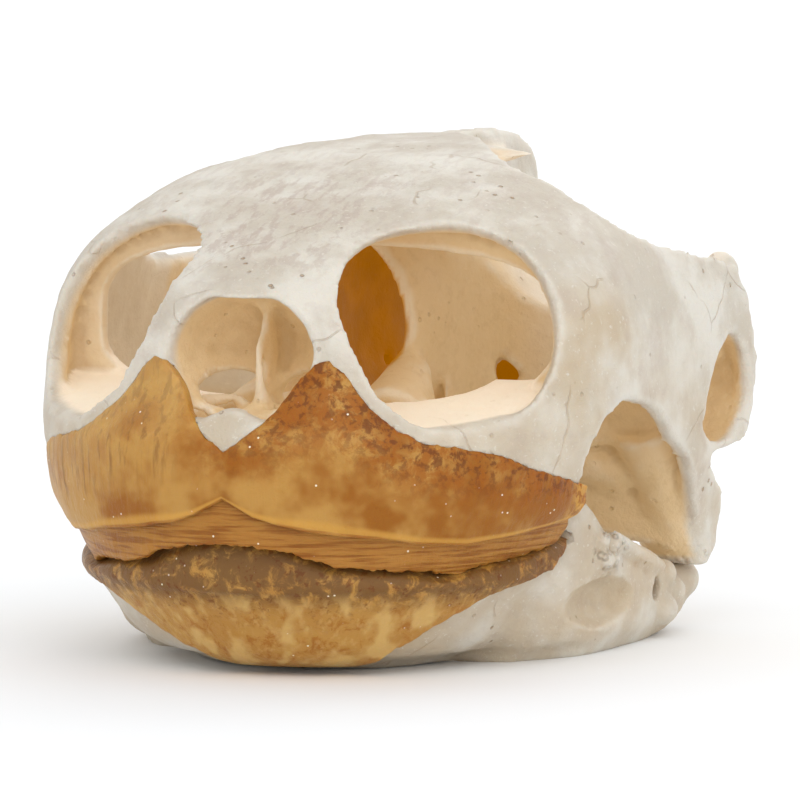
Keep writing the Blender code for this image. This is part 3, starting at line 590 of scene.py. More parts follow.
def fused(name, items, grain, smoothing):
    """Joins shapes, fuses them and rounds their edges."""
    bpy.ops.object.select_all(action="DESELECT")
    for item in items:
        item.select_set(True)
    bpy.context.view_layer.objects.active = items[0]
    if len(items) > 1:
        bpy.ops.object.join()
    fuse = items[0].modifiers.new("Fuse", "REMESH")
    fuse.mode = "VOXEL"
    fuse.voxel_size = grain
    keep_largest(apply_last(items[0]))
    item = fresh(name)
    smooth = item.modifiers.new("Round", "SMOOTH")
    smooth.factor = 0.5
    smooth.iterations = smoothing
    return apply_last(item)


def weathered(item, layers):
    """Pushes a mesh in and out along its normals by noises, each a size and a depth in millimetres."""
    points = points_of(item)
    normals = np.empty(len(points) * 3)
    item.data.vertex_normals.foreach_get("vector", normals)
    push = sum(wander(points, size, depth * 40.0) * depth for size, depth in layers)
    return put_points(item, points + normals.reshape(-1, 3) * push[:, None])


def tag(item, name, values):
    """Stores one number on each vertex, for the materials."""
    values = np.clip(np.asarray(values, float), 0.0, 1.0)
    item.data.attributes.new(name, "FLOAT", "POINT").data.foreach_set("value", values)


def finish_piece(item, nodes, material):
    low, high = np.array(CAD_BOX[0]) / MM, np.array(CAD_BOX[1]) / MM
    put_points(item, np.clip(points_of(item) + np.array(TO_PART), low, high))
    item.data.materials.clear()
    item.data.materials.append(material)
    only(item)
    bpy.ops.object.shade_smooth()
    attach(item, "root")
    for node in nodes:
        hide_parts(node)
    return item


def half_outline(half, wider=1.0):
    """A whole outline from its left half, with the right one a little wider if asked."""
    return half + tuple((-x * wider, y) for x, y in reversed(half[1:-1]))


def orbit_cutter():
    """A prism along the left orbit's line of sight."""
    aim = Vector(ORBIT_AIM).normalized()
    back = Vector((0, 0, 1)).cross(aim).normalized()
    rise = aim.cross(back)
    middle = Vector(ORBIT_MIDDLE)

    def place(u, v, depth):
        return middle + back * u + rise * v + aim * depth

    return prism("orbit", rounded(ORBIT_OUTLINE, 8), place, (-8.0, 14.0))


def temple_cutter(side, outer_edge):
    """The gap in the roof behind a temple; its outer wall leans out, square to the bone."""

    def place(u, v, level):
        lean = min(max((u - 14.0) / 7.0, 0.0), 1.0)
        return side * (u + 1.1 * lean * (level - 31.0)), v, level

    return prism("temple", rounded(TEMPLE_START + outer_edge, 8, 0.25), place, (25.0, 48.0))


def shell():
    """The outer wall of the cranium with its openings."""
    worn = sizes().raggedness / MM
    orbit = orbit_cutter()
    nostril = rounded(half_outline(NOSTRIL_HALF, NOSTRIL_RIGHT), 5, 0.1)
    return combine(head_form("shell", 0.0), [
        head_form("hollow", sizes().bone_wall / MM),
        prism("nostril", nostril, lambda u, v, d: (u, d, v), (-8.0, 4.5)),
        mirrored(orbit),
        orbit,
        temple_cutter(1, TEMPLE_LEFT),
        temple_cutter(-1, TEMPLE_RIGHT),
        sideways("cheek", CHEEK_GAP, ragged=0.3 * worn),
        sideways("ear", EAR_GAP, ragged=0.5 * worn),
        sideways("below_ear", BELOW_EAR, ragged=worn),
        block("under", (-40, -9, 0), (40, 21, 11.8)),
        block("floor", (-19.5, 15, 0), (19.5, 70, 12)),
        block("behind", (-21, 46, 0), (21, 70, 50)),
        sideways("rear_end", REAR_CUT, 40.0, 10, 1.6 * worn),
    ], "DIFFERENCE")


def maxilla():
    """The thick body under the orbits, whose top is the orbit's floor."""
    body = head_form("maxilla", 0.5, 5)
    wedge = prism("wedge", MAXILLA, lambda u, v, d: (d, u, v), (-40, 40))
    combine(body, [wedge], "INTERSECT")
    above = block("above", (-40, -10, ORBIT_FLOOR_UNDERSIDE), (40, 70, 60))
    core = combine(head_form("core", 5.6, 5), [above], "DIFFERENCE")
    hollows = [egg("airway", *AIRWAY), egg("dip", *FLOOR_DIP)]
    hollows += [mirrored(hollow) for hollow in hollows]
    return combine(body, [core] + hollows + [sideways("cheek", CHEEK_GAP)], "DIFFERENCE")


def orbit_flange():
    """The thin rib that closes the rear of the orbits, with one wide window across both."""
    rib = combine(head_form("flange", 0.8, 5), [block("rib", *FLANGE_SLAB)], "INTERSECT")
    return combine(rib, [egg("flange_window", *FLANGE_WINDOW, 5, 0.6)], "DIFFERENCE")


def palate():
    """The roof of the mouth and the pterygoids, one arched plate."""
    plate = prism(
        "palate", rounded(half_outline(PALATE_HALF), 5),
        lambda u, v, d: (u, v, 16.4 + d + 0.5 * math.cos(u / 9.0)), (-0.9, 0.9),
    )
    windows = [egg("window", *window, 4) for window in PALATE_WINDOWS]
    return combine(plate, [mirrored(window) for window in windows] + windows, "DIFFERENCE")


def tube_ring(half, low, high, y, squareness, sides=48):
    """A squarish upright ring at a distance back."""
    ring = []
    for step in range(sides):
        turn = 2 * math.pi * step / sides
        c, s = math.cos(turn), math.sin(turn)
        x = half * math.copysign(abs(c) ** (2 / squareness), c)
        z = (low + high) / 2 + (high - low) / 2 * math.copysign(abs(s) ** (2 / squareness), s)
        ring.append((x, y, z))
    return ring


def nerve_window():
    """The left three-cornered hole that slants inward into the braincase."""
    across, fall = NERVE_SLANT

    def place(u, v, depth):
        return u + across * (depth - NERVE_AT), depth, v + fall * (depth - NERVE_AT)

    return prism("nerve", NERVE_WINDOW, place, NERVE_DEPTHS)


def braincase():
    """The tube round the brain, open in front and at the rear."""
    wall = BRAINCASE_WALL
    sections = smooth_rows(np.array(BRAINCASE), 36)
    outer = skin("braincase", [tube_ring(half, low, high, y, square) for y, half, low, high, square in sections])
    rings = [
        tube_ring(half - wall, low + wall, high - wall, y, square) for y, half, low, high, square in sections
    ]
    rings[0] = [(x, y - 2.0 - 1.2 * noise.noise(Vector((x, z, 1.0)) / 1.6), z) for x, y, z in rings[0]]
    rings[-1] = [(x, y - 0.8, z) for x, y, z in rings[-1]]
    nerve = nerve_window()
    scoop = egg("scoop", *WALL_SCOOP, 5, 0.8)
    tools = [skin("brain", rings), mirrored(nerve), nerve, mirrored(scoop), scoop, rod("spinal_hole", *SPINAL_HOLE)]
    return combine(outer, tools, "DIFFERENCE")


def wall_foot():
    """The left foot that flares from the braincase's front edge onto the floor of the orbit."""
    return rod("wall_foot", *WALL_FOOT)


def roof_web():
    """The fillets between braincase and roof, one each side of the midline."""
    rings = []
    for y, low, half in ROOF_WEB:
        top = float(along(ROOF_LINE, y)) - 0.7
        wide = half * 1.5
        slim = half * 0.6
        eaves = top - 0.7
        rings.append([(-wide, y, eaves), (-slim, y, low), (slim, y, low), (wide, y, eaves), (0, y, top)])
    return skin("roof_web", rings)


def nose_cup():
    """The thin capsule behind the nostril, with its two inner openings."""
    passage = egg("passage", *NOSE_PASSAGE)
    cup = combine(egg("cup", *NOSE_CUP), [
        egg("cup_hollow", *NOSE_HOLLOW),
        block("mouth", (-9, -12, 14), (9, 0.9, 36)),
        mirrored(passage),
        passage,
    ], "DIFFERENCE")
    shelf = rod("shelf", *NOSE_SHELF)
    return [cup, block("septum", *SEPTUM), rod("septum_edge", *SEPTUM_EDGE), mirrored(shelf), shelf]


def ear_cup():
    """The left funnel round the ear drum, and the block inside it."""
    cup = combine(egg("ear_cup", *EAR_CUP, 5, 0.75), [
        egg("ear_hollow", *EAR_HOLLOW),
        egg("ear_fossa", *EAR_FOSSA),
        block("ear_limit", (25.2, 30, 5), (40, 60, 35)),
    ], "DIFFERENCE")
    otic = combine(egg("otic", *OTIC, 5, 0.75), [nerve_window(), egg("ear_fossa", *EAR_FOSSA)], "DIFFERENCE")
    return [cup, otic, rod("otic_ridge", *OTIC_RIDGE), rod("ear_bar", *EAR_BAR)]


def quadrate():
    """The left leaning pillar that carries the jaw joint, with its wall."""

    def place(u, v, depth):
        return u, 38.4 + (u - 8.0) * 0.34 + (20.0 - v) * 0.12 + depth, v

    wall = prism("quadrate", QUADRATE, place, (-0.2, 1.9))
    levels, depths = BUTTRESS_REACH
    buttress = prism("buttress", rounded(BUTTRESS), lambda u, v, d: (u, v, d), levels)
    combine(buttress, [prism("buttress_front", BUTTRESS_FRONT, lambda u, v, d: (u, d, v), depths)], "INTERSECT")
    return [
        combine(buttress, [nerve_window(), egg("ear_hollow", *EAR_HOLLOW)], "DIFFERENCE"),
        rod("pillar", *PILLAR),
        combine(wall, [egg("ear_hollow", *EAR_HOLLOW), nerve_window()], "DIFFERENCE"),
        egg("condyle", *CONDYLE),
        rod("pterygoid", *PTERYGOID),
        rod("joint_foot", *JOINT_FOOT),
        rod("cheek_ridge", *CHEEK_RIDGE),
        egg("edge_lump", (22.4, 48.8, 9.4), (1.3, 1.2, 1.6)),
    ]


def occiput():
    """The crest at the back of the roof and the knob for the neck."""
    return [
        prism("crest", rounded(CREST, 6, 0.3), lambda u, v, d: (d, u, v), (-1.2, 1.2)),
        egg("back_knob", *BACK_KNOB),
    ]


def section_at(turns, insets, levels):
    """Points on the head's wall, some degrees round the beak, for whole grids at once."""
    angles = np.radians(turns)
    headings = np.stack([np.sin(angles), -np.cos(angles), np.zeros_like(angles)], axis=-1)
    starts = np.stack([np.zeros_like(levels), np.full_like(levels, WIDEST_AT), levels], axis=-1)
    flat = headings.reshape(-1, 3)
    distances = reach(starts.reshape(-1, 3), flat) - insets.ravel()
    return (starts.reshape(-1, 3) + flat * distances[:, None]).reshape(*levels.shape, 3)


def smooth_rows(profile, count):
    """A profile of stations turned into many, evenly by station, for every column at once."""
    stations = len(profile)
    spots = np.linspace(0, stations - 1, count)
    low = np.clip(np.floor(spots).astype(int), 0, stations - 2)
    t = (spots - low)[:, None]
    padded = np.concatenate([profile[:1] * 2 - profile[1:2], profile, profile[-1:] * 2 - profile[-2:-1]])
    before, start, end, after = padded[low], padded[low + 1], padded[low + 2], padded[low + 3]
    bend = (2 * before - 5 * start + 4 * end - after) * t * t + (3 * start - before - 3 * end + after) * t**3
    return 0.5 * (2 * start + (end - before) * t + bend)


def noise_row(turns, size, seed):
    """Smooth noise from -1 to 1 along the beak, by degrees."""
    return np.array([noise.noise(Vector((turn / size, seed, 0.5))) for turn in turns])


def upper_grid(columns, out, back_in, spare, worn):
    """Insets and levels of the upper beak's section, one column for each turn."""
    spread = BEAK_SPREAD + (0.4 if spare else 0)
    turns = np.linspace(-spread, spread, columns)
    size = np.abs(turns)
    top = along(UPPER_TOP, size) + spare + worn * (0.5 * noise_row(turns, 2.2, 1.0) + 0.3 * noise_row(turns, 0.8, 2.0))
    edge = along(UPPER_EDGE, size) + worn * 0.35 * noise_row(turns, 4.0, 3.0)
    lip = along(LIP_EDGE, size) - spare - LIP_DROP
    lip = lip + worn * (0.7 * noise_row(turns, 3.5, 4.0) + 0.6 * noise_row(turns, 1.2, 5.0))
    high = top - edge
    flat = np.ones_like(turns)
    profile = [
        (back_in * flat, top - 0.1),
        ((-0.06 if out < 1.0 else -out) * flat, top),
        (-out * 0.8 * flat, top - 0.16 * high),
        ((-out - 0.15) * flat, edge + 0.4 * high),
        (-out * flat, edge + 0.3),
        ((-out + 0.30) * flat, edge - 0.1),
        ((-out + 0.62) * flat, edge - 0.2),
        ((-out + 0.66) * flat, lip + 0.4),
        ((-out + 0.95) * flat, lip - 0.1),
        ((back_in + 0.6) * flat, lip + 0.3),
        ((back_in + 1.0) * flat, edge + 0.4),
        (back_in * flat, edge + 1.4),
    ]
    insets = np.array([row[0] for row in profile])
    levels = np.array([row[1] for row in profile])
    return turns, insets, levels


def upper_seat():
    """The plain form that cuts the upper beak's seat from the bone."""
    turns, insets, levels = upper_grid(81, 2.5, sizes().horn_wall / MM + 0.05, 0.05, 0.0)
    points = section_at(np.tile(turns, (len(levels), 1)), insets, levels)
    return skin("seat", points.transpose(1, 0, 2))


def jaw_points(turns, insets, levels):
    """Points on the jaw's outline, some degrees round from the midline."""
    angles = np.radians(turns)
    across = (JAW_HALF_WIDTH - insets) * np.sin(angles)
    back = WIDEST_AT - (WIDEST_AT - JAW_FRONT - insets) * np.cos(angles)
    return np.stack([across, back, levels], axis=-1)


def lower_grid(columns, rows, out, depth, spare, worn):
    """Points of the lower beak's outer and inner faces, and how far down each lies."""
    spread = LOWER_SPREAD + (0.4 if spare else 0)
    turns = np.linspace(-spread, spread, columns)
    grid = []
    for turn in turns:
        lip = float(along(LIP_EDGE, abs(turn)))
        side = JAW_RISE_SIDE * abs(turn) / BEAK_SPREAD
        lowest = JAW_RISE[-1][1]
        rising = [(inset + side * min(rise - lowest, 1.0), rise) for inset, rise in JAW_RISE]
        profile = [(inset, min(lip + rise, JAW_TOP)) for inset, rise in rising] + list(JAW_PROFILE)
        end = float(along(JAW_END_LEFT if turn > 0.0 else JAW_END_RIGHT, abs(turn))) + spare * 0.06
        end += worn * 0.05 * (noise_row([turn], 5.0, 8.0)[0] + 0.6 * noise_row([turn], 1.5, 9.0)[0])
        end = min(end, 1.0)
        fine = smooth_rows(np.array(profile), 97)
        spots = np.linspace(0.0, 1.0, 97)
        shares = np.linspace(0.0, end, rows)
        inset = np.interp(shares, spots, fine[:, 0])
        level = np.interp(shares, spots, fine[:, 1])
        low = np.maximum(shares - 0.6, 0.0) / 0.4
        outer = jaw_points(turn, inset - out * (1 - low), level - out * low)
        inner = jaw_points(turn, inset + depth * (1 - 0.55 * low), level + depth * low * 0.9)
        outer[0, 2] += spare
        inner[0, 2] += spare
        grid.append((outer, inner, shares))
    return turns, grid


def lower_seat():
    """The plain form that cuts the lower beak's seat from the jaw."""
    _, grid = lower_grid(65, 24, 2.5, sizes().horn_wall / MM + 0.05, 0.08, 0.0)
    return skin("seat", [np.concatenate([outer, inner[::-1]]) for outer, inner, _ in grid])


def upright_ring(top, bottom, thick, sides=32):
    """A rounded upright section: distance in from the outer face, and height."""
    ring = []
    for step in range(sides):
        turn = 2 * math.pi * step / sides
        c, s = math.cos(turn), math.sin(turn)
        inward = thick / 2 - math.copysign(abs(c) ** 0.7, c) * thick / 2
        ring.append((inward, (top + bottom) / 2 + math.copysign(abs(s) ** 0.6, s) * (top - bottom) / 2))
    return ring


def lean_at(level):
    """How far in the jaw's outer face lies at a height."""
    rising = JAW_PROFILE[::-1]
    return float(np.interp(level, [spot[1] for spot in rising], [spot[0] for spot in rising]))


def ramus_rings(side):
    """Sections of one side's jaw bone, from the beak back to the joint."""
    rings = []
    for x, y, top, bottom, thick in smooth_rows(np.array(RAMUS), 37):
        lean = float(np.interp(y, RAMUS_LEAN_AT, RAMUS_LEAN))
        ring = [(x - inward - lean * lean_at(min(level, 6.0)), level) for inward, level in upright_ring(top, bottom, thick)]
        rings.append([(side * across, y, level) for across, level in ring])
    return rings


def jaw_bone():
    """The U of the lower jaw, flush with its sheath before the seat is cut."""
    arc = []
    for turn in range(-76, 77, 2):
        share = 1.0 - abs(turn) / 90.0
        ring = upright_ring(8.8 - 0.4 * share, -0.8, 3.6 + 3.4 * share**2)
        arc.append([jaw_points(turn, 0.3 + inward + lean_at(level), level) for inward, level in ring])
    jaw = skin("jaw", ramus_rings(-1)[::-1] + arc + ramus_rings(1))
    cuts = [
        egg("cheek_pit", *CHEEK_PIT),
        egg("muscle_pit", *MUSCLE_PIT),
        egg("jaw_hollow", *JAW_HOLLOW),
        rod("jaw_groove", *JAW_GROOVE),
        rod("jaw_nerve", *JAW_NERVE),
    ]
    combine(jaw, [mirrored(cut) for cut in cuts] + cuts, "DIFFERENCE")
    lumps = [rod("jaw_crest", *JAW_CREST)]
    for middle, radius in JAW_LUMPS:
        lumps.append(egg("jaw_lump", middle, (radius, radius * 1.2, radius * 0.9), 3))
    return [jaw] + lumps + [mirrored(lump) for lump in lumps]


class Shader:
    """Builds one material's nodes, with short calls for each kind."""

    def __init__(self, name):
        self.material = bpy.data.materials.new(name)
        self.material.use_nodes = True
        self.tree = self.material.node_tree
        self.surface = self.tree.nodes["Principled BSDF"]
        self.spots = self.add("ShaderNodeTexCoord").outputs["Object"]

    def add(self, kind, **values):
        made = self.tree.nodes.new(kind)
        for name, value in values.items():
            setattr(made, name, value)
        return made

    def feed(self, socket, value):
        if isinstance(value, bpy.types.NodeSocket):
            self.tree.links.new(value, socket)
        else:
            socket.default_value = value

    def maths(self, operation, first, second=0.0, clamp=False):
        made = self.add("ShaderNodeMath", operation=operation, use_clamp=clamp)
        self.feed(made.inputs[0], first)
        self.feed(made.inputs[1], second)
        return made.outputs[0]

    def times(self, first, second):
        """The product of two numbers."""
        return self.maths("MULTIPLY", first, second)

    def warped(self, size, reach):
        """Places pushed about by noise, its blotches and its push in millimetres."""
        blotches = self.add("ShaderNodeTexNoise")
        blotches.inputs["Scale"].default_value = 1.0 / (size * MM)
        self.feed(blotches.inputs["Vector"], self.spots)
        push = self.add("ShaderNodeVectorMath", operation="MULTIPLY_ADD")
        self.feed(push.inputs[0], blotches.outputs["Color"])
        push.inputs[1].default_value = (reach * MM,) * 3
        self.feed(push.inputs[2], self.spots)
        return push.outputs[0]

    def attribute(self, name):
        return self.add("ShaderNodeAttribute", attribute_name=name).outputs["Fac"]

    def scaled(self, scale, turn=(0, 0, 0)):
        made = self.add("ShaderNodeMapping")
        made.inputs["Scale"].default_value = scale
        made.inputs["Rotation"].default_value = turn
        self.feed(made.inputs["Vector"], self.spots)
        return made.outputs[0]

    def clouds(self, size, detail=3.0, rough=0.55, vector=None, distortion=0.0):
        """Noise whose blotches are a size in millimetres."""
        made = self.add("ShaderNodeTexNoise")
        made.inputs["Scale"].default_value = 1.0 / (size * MM)
        made.inputs["Detail"].default_value = detail
        made.inputs["Roughness"].default_value = rough
        made.inputs["Distortion"].default_value = distortion
        self.feed(made.inputs["Vector"], vector or self.spots)
        return made.outputs["Fac"]

    def cells(self, size, feature="F1", vector=None):
        """Distance to scattered points that are a size in millimetres apart."""
        made = self.add("ShaderNodeTexVoronoi", feature=feature)
        made.inputs["Scale"].default_value = 1.0 / (size * MM)
        self.feed(made.inputs["Vector"], vector or self.spots)
        return made.outputs["Distance"]

    def band(self, value, low, high):
        """0 below low and 1 above high, smooth between; falls where low is the greater."""
        made = self.add("ShaderNodeMapRange", interpolation_type="SMOOTHSTEP")
        self.feed(made.inputs["Value"], value)
        made.inputs["From Min"].default_value = min(low, high)
        made.inputs["From Max"].default_value = max(low, high)
        made.inputs["To Min"].default_value = 0.0 if low < high else 1.0
        made.inputs["To Max"].default_value = 1.0 if low < high else 0.0
        return made.outputs["Result"]

    def scaled_band(self, share, low, high):
        """A share of 0 to 1 turned into a value between two others."""
        made = self.add("ShaderNodeMapRange")
        self.feed(made.inputs["Value"], share)
        made.inputs["To Min"].default_value = low
        made.inputs["To Max"].default_value = high
        return made.outputs["Result"]

    def mix(self, share, first, second):
        """A colour between two others."""
        made = self.add("ShaderNodeMix", data_type="RGBA")
        self.feed(made.inputs["Factor"], share)
        self.feed(made.inputs["A"], first)
        self.feed(made.inputs["B"], second)
        return made.outputs["Result"]

    def relief(self, layers):
        """Stacks bumps, each a height between 0 and 1 with its depth in millimetres."""
        normal = None
        for height, depth in layers:
            made = self.add("ShaderNodeBump")
            made.inputs["Distance"].default_value = depth * MM
            made.inputs["Strength"].default_value = 1.0
            self.feed(made.inputs["Height"], height)
            if normal:
                self.feed(made.inputs["Normal"], normal)
            normal = made.outputs["Normal"]
        self.feed(self.surface.inputs["Normal"], normal)


def bone_material(name):
    """Dry bone: ivory outside with grey-pink stains, seams and pores; painted warm bounce light and shade in the
    hollows, painted light on the orbit floors, painted warm light in the braincase, a painted glow inside, painted
    shade in creases and a painted highlight on ridges.
    """
    wanted = tints()
    shader = Shader(name)
    shape = shader.attribute("curve")
    inner = shader.attribute("inner")
    brain = shader.attribute("brain")
    base = shader.mix(shader.band(shader.clouds(7.0, 4.0), 0.40, 0.66), tuple(wanted.bone), tuple(wanted.bone_pale_and_ridge_highlight))
    warm = shader.times(shader.band(shader.clouds(9.0, 3.0), 0.30, 0.62), shader.attribute("warm"))
    base = shader.mix(warm, base, tuple(wanted.bone_warm))
    stain = shader.times(shader.band(shader.clouds(4.5, 5.0, 0.65), 0.50, 0.72), 0.32)
    base = shader.mix(stain, base, tuple(wanted.bone_stain))
    streaks = shader.clouds(0.9, 4.0, 0.6, shader.scaled((1.0, 0.22, 1.0), (0.0, 0.0, 0.5)))
    patch = shader.times(shader.band(streaks, 0.46, 0.62), shader.attribute("roof"))
    base = shader.mix(shader.times(patch, 0.60), base, tuple(wanted.bone_stain))
    flecks = shader.times(shader.band(shader.clouds(0.35, 2.0, 0.5), 0.62, 0.70), shader.band(streaks, 0.40, 0.55))
    base = shader.mix(shader.times(flecks, 0.6), base, tuple(wanted.bone_pale_and_ridge_highlight))
    warped = shader.warped(5.0, 3.0)
    seam = shader.band(shader.cells(15.0, "DISTANCE_TO_EDGE", warped), 0.007, 0.002)
    seam = shader.times(shader.times(seam, shader.band(shader.clouds(8.0, 2.0), 0.50, 0.58)), shader.band(inner, 0.5, 0.2))
    base = shader.mix(shader.times(seam, 0.3), base, tuple(wanted.bone_pore_and_crease_shade))
    sparse = shader.band(shader.clouds(5.0), 0.50, 0.60)
    pores = shader.times(shader.band(shader.cells(1.4), 0.17, 0.08), shader.times(sparse, shader.band(brain, 0.3, 0.1)))
    base = shader.mix(shader.times(pores, 0.65), base, tuple(wanted.bone_pore_and_crease_shade))
    # Painted warm bounce light in the hollows, by the inner mark.
    base = shader.mix(shader.times(inner, 0.78), base, tuple(wanted.hollow_painted_bounce_light))
    hollow_painted_shade_flecks = shader.band(shader.clouds(1.2, 4.0, 0.65), 0.50, 0.68)
    # Painted shade: darker ridged flecks in the hollows.
    base = shader.mix(shader.times(shader.times(inner, hollow_painted_shade_flecks), 0.14), base, tuple(wanted.bone_pore_and_crease_shade))
    # Painted shade in creases and painted highlight on ridges, by the curve mark.
    base = shader.mix(shader.times(shader.band(shape, 0.42, 0.15), 0.45), base, tuple(wanted.bone_pore_and_crease_shade))
    base = shader.mix(shader.times(shader.band(shape, 0.60, 0.90), 0.55), base, tuple(wanted.bone_pale_and_ridge_highlight))
    # Painted light: the upward-facing orbit floors are painted bright cream.
    base = shader.mix(shader.times(shader.attribute("floor"), 0.85), base, tuple(wanted.orbit_floor_painted_light))
    # Painted warm light inside the braincase and the nerve tunnels, in lighter and darker patches.
    patches = shader.band(shader.clouds(5.0, 2.0, 0.5), 0.36, 0.66)
    amber = shader.mix(patches, tuple(wanted.brain_painted_warm_light), tuple(wanted.brain_painted_warm_light_dark))
    base = shader.mix(brain, base, amber)
    surface = shader.surface.inputs
    shader.feed(surface["Base Color"], base)
    shader.feed(surface["Roughness"], shader.scaled_band(shader.clouds(2.0, 3.0), 0.44, 0.72))
    surface["Subsurface Weight"].default_value = 0.22
    surface["Subsurface Radius"].default_value = (1.0, 0.62, 0.36)
    surface["Subsurface Scale"].default_value = 1.1 * MM
    surface["Coat Weight"].default_value = 0.05
    surface["Coat Roughness"].default_value = 0.35
    # Painted glow: emission in the hollows, warm there, pale on the lit floors, orange in the braincase.
    glow = shader.mix(inner, tuple(wanted.pale_painted_glow), tuple(wanted.hollow_painted_glow))
    glow = shader.mix(shader.attribute("hollow"), tuple(wanted.no_glow), glow)
    glow = shader.mix(brain, glow, tuple(wanted.brain_painted_glow))
    shader.feed(surface["Emission Color"], glow)
    surface["Emission Strength"].default_value = 0.20
    beads = shader.times(shader.band(shader.cells(0.8), 0.55, 0.15), shader.attribute("crust"))
    shader.relief([
        (shader.clouds(3.5, 3.0), 0.14),
        (shader.clouds(0.55, 4.0, 0.75), 0.13),
        (streaks, 0.10),
        (beads, 0.30),
        (shader.maths("SUBTRACT", 1.0, pores), 0.18),
        (shader.maths("SUBTRACT", 1.0, seam), 0.06),
    ])
    return shader.material


def horn_material(name, lower):
    """Translucent amber horn with brown mottling, streaks, a golden line and a layered brown lip; light specks that are
    partly painted glints, and painted shadow under the lip on the lower beak.
    """
    wanted = tints()
    shader = Shader(name)
    height = shader.attribute("height")
    turn = shader.attribute("turn")
    lip = shader.attribute("lip")
    streaks = shader.clouds(0.7, 4.0, 0.6, shader.scaled((1.0, 1.0, 0.14)))
    layers = shader.clouds(0.3, 3.0, 0.5, shader.scaled((0.07, 0.07, 1.0)))
    mottle = shader.clouds(1.5, 6.0, 0.70, distortion=0.6)
    spots = shader.clouds(0.8, 4.0, 0.65, distortion=0.3)
    broad = shader.clouds(5.0, 3.0)
    right_side = shader.maths("ADD", broad, shader.scaled_band(turn, 0.09, -0.05))
    base = shader.mix(shader.band(right_side, 0.38, 0.64), tuple(wanted.horn), tuple(wanted.horn_pale))
    orange = tuple(wanted.horn_orange)
    brown = tuple(wanted.horn_brown)
    if lower:
        base = shader.mix(0.75, base, tuple(wanted.horn_pale))
        patches = shader.times(shader.band(mottle, 0.50, 0.64), shader.band(height, 0.72, 0.30))
        base = shader.mix(shader.times(patches, 0.60), base, orange)
        # Partly grey-brown smoke in the horn, partly painted shadow cast by the upper beak's lip on the top of the
        # lower beak.
        smoke_and_lip_shadow = shader.times(shader.band(mottle, 0.34, 0.52), shader.band(height, 0.42, 0.62))
        base = shader.mix(shader.times(smoke_and_lip_shadow, 0.78), base, tuple(wanted.horn_smoke_and_lip_shadow))
        dots = shader.times(shader.band(spots, 0.56, 0.66), shader.band(height, 0.30, 0.55))
        base = shader.mix(shader.times(dots, 0.65), base, brown)
        beams = shader.clouds(2.4, 2.0, 0.5, shader.scaled((1.0, 1.0, 0.22)))
        light = shader.times(shader.band(beams, 0.46, 0.62), shader.band(height, 0.66, 0.42))
        base = shader.mix(shader.times(light, 0.85), base, tuple(wanted.horn_light))
        fine = shader.times(shader.band(streaks, 0.50, 0.66), shader.band(height, 0.70, 0.45))
        base = shader.mix(shader.times(fine, 0.35), base, tuple(wanted.horn_light))
    else:
        near_top = shader.band(height, 0.30, 0.95)
        left = shader.band(turn, 0.44, 0.60)
        stained = shader.times(shader.band(mottle, 0.38, 0.58), shader.band(height, 0.22, 0.75))
        base = shader.mix(shader.times(stained, shader.scaled_band(left, 0.30, 0.85)), base, orange)
        dots = shader.times(shader.times(shader.band(spots, 0.47, 0.60), near_top), left)
        base = shader.mix(shader.times(dots, 0.80), base, brown)
        lines = shader.times(shader.band(turn, 0.46, 0.40), shader.band(streaks, 0.50, 0.64))
        base = shader.mix(shader.times(shader.times(lines, shader.band(height, 0.18, 0.55)), 0.62), base, brown)
        pale_peak = shader.times(shader.band(turn, 0.45, 0.41), near_top)
        base = shader.mix(shader.times(pale_peak, 0.40), base, tuple(wanted.horn_light))
        golden = shader.times(shader.band(height, 0.08, 0.03), shader.band(lip, 0.4, 0.0))
        base = shader.mix(shader.times(golden, 0.70), base, tuple(wanted.horn_gold))
        flaky = shader.times(shader.band(turn, 0.955, 0.985), shader.band(spots, 0.40, 0.55))
        base = shader.mix(shader.times(flaky, 0.8), base, tuple(wanted.horn_gold))
    fibres = shader.mix(shader.band(layers, 0.36, 0.58), tuple(wanted.lip_dark), tuple(wanted.horn_lip))
    base = shader.mix(shader.times(lip, 0.90), base, fibres)
    # Light specks: partly dry flakes, partly painted glints.
    specks = shader.times(shader.band(shader.cells(0.9), 0.12, 0.07), shader.band(shader.clouds(3.0), 0.54, 0.6))
    base = shader.mix(specks, base, tuple(wanted.horn_flake_and_glint))
    surface = shader.surface.inputs
    shader.feed(surface["Base Color"], base)
    shader.feed(surface["Roughness"], shader.scaled_band(mottle, 0.26, 0.56))
    surface["Subsurface Weight"].default_value = 0.35
    surface["Subsurface Radius"].default_value = (1.0, 0.42, 0.12)
    surface["Subsurface Scale"].default_value = 1.1 * MM
    surface["Specular IOR Level"].default_value = 0.22
    surface["Coat Weight"].default_value = 0.04
    surface["Coat Roughness"].default_value = 0.25
    shader.relief([
        (mottle, 0.12),
        (streaks, 0.12),
        (shader.times(layers, lip), 0.25),
        (shader.clouds(0.35, 3.0, 0.7), 0.05),
    ])
    return shader.material


def ridge_highlight_and_crease_shade_tag(item, depth):
    """Marks ridges over a half and hollows under it, by how far each vertex stands off its neighbours; the material
    paints shade in the hollows and a highlight on the ridges.
    """
    points = points_of(item)
    count = len(points)
    edges = np.empty(len(item.data.edges) * 2, int)
    item.data.edges.foreach_get("vertices", edges)
    first, second = edges.reshape(-1, 2).T
    share = np.maximum(np.bincount(first, minlength=count) + np.bincount(second, minlength=count), 1)[:, None]

    def averaged(values):
        total = np.empty_like(values)
        for part in range(values.shape[1]):
            total[:, part] = np.bincount(first, values[second, part], count)
            total[:, part] += np.bincount(second, values[first, part], count)
        return total / share

    smooth = points
    for _ in range(10):
        smooth = (smooth + averaged(smooth)) / 2.0
    normals = np.empty(count * 3)
    item.data.vertex_normals.foreach_get("vector", normals)
    stand = np.sum((points - smooth) * normals.reshape(-1, 3), axis=1)
    tag(item, "curve", 0.5 + stand / depth)


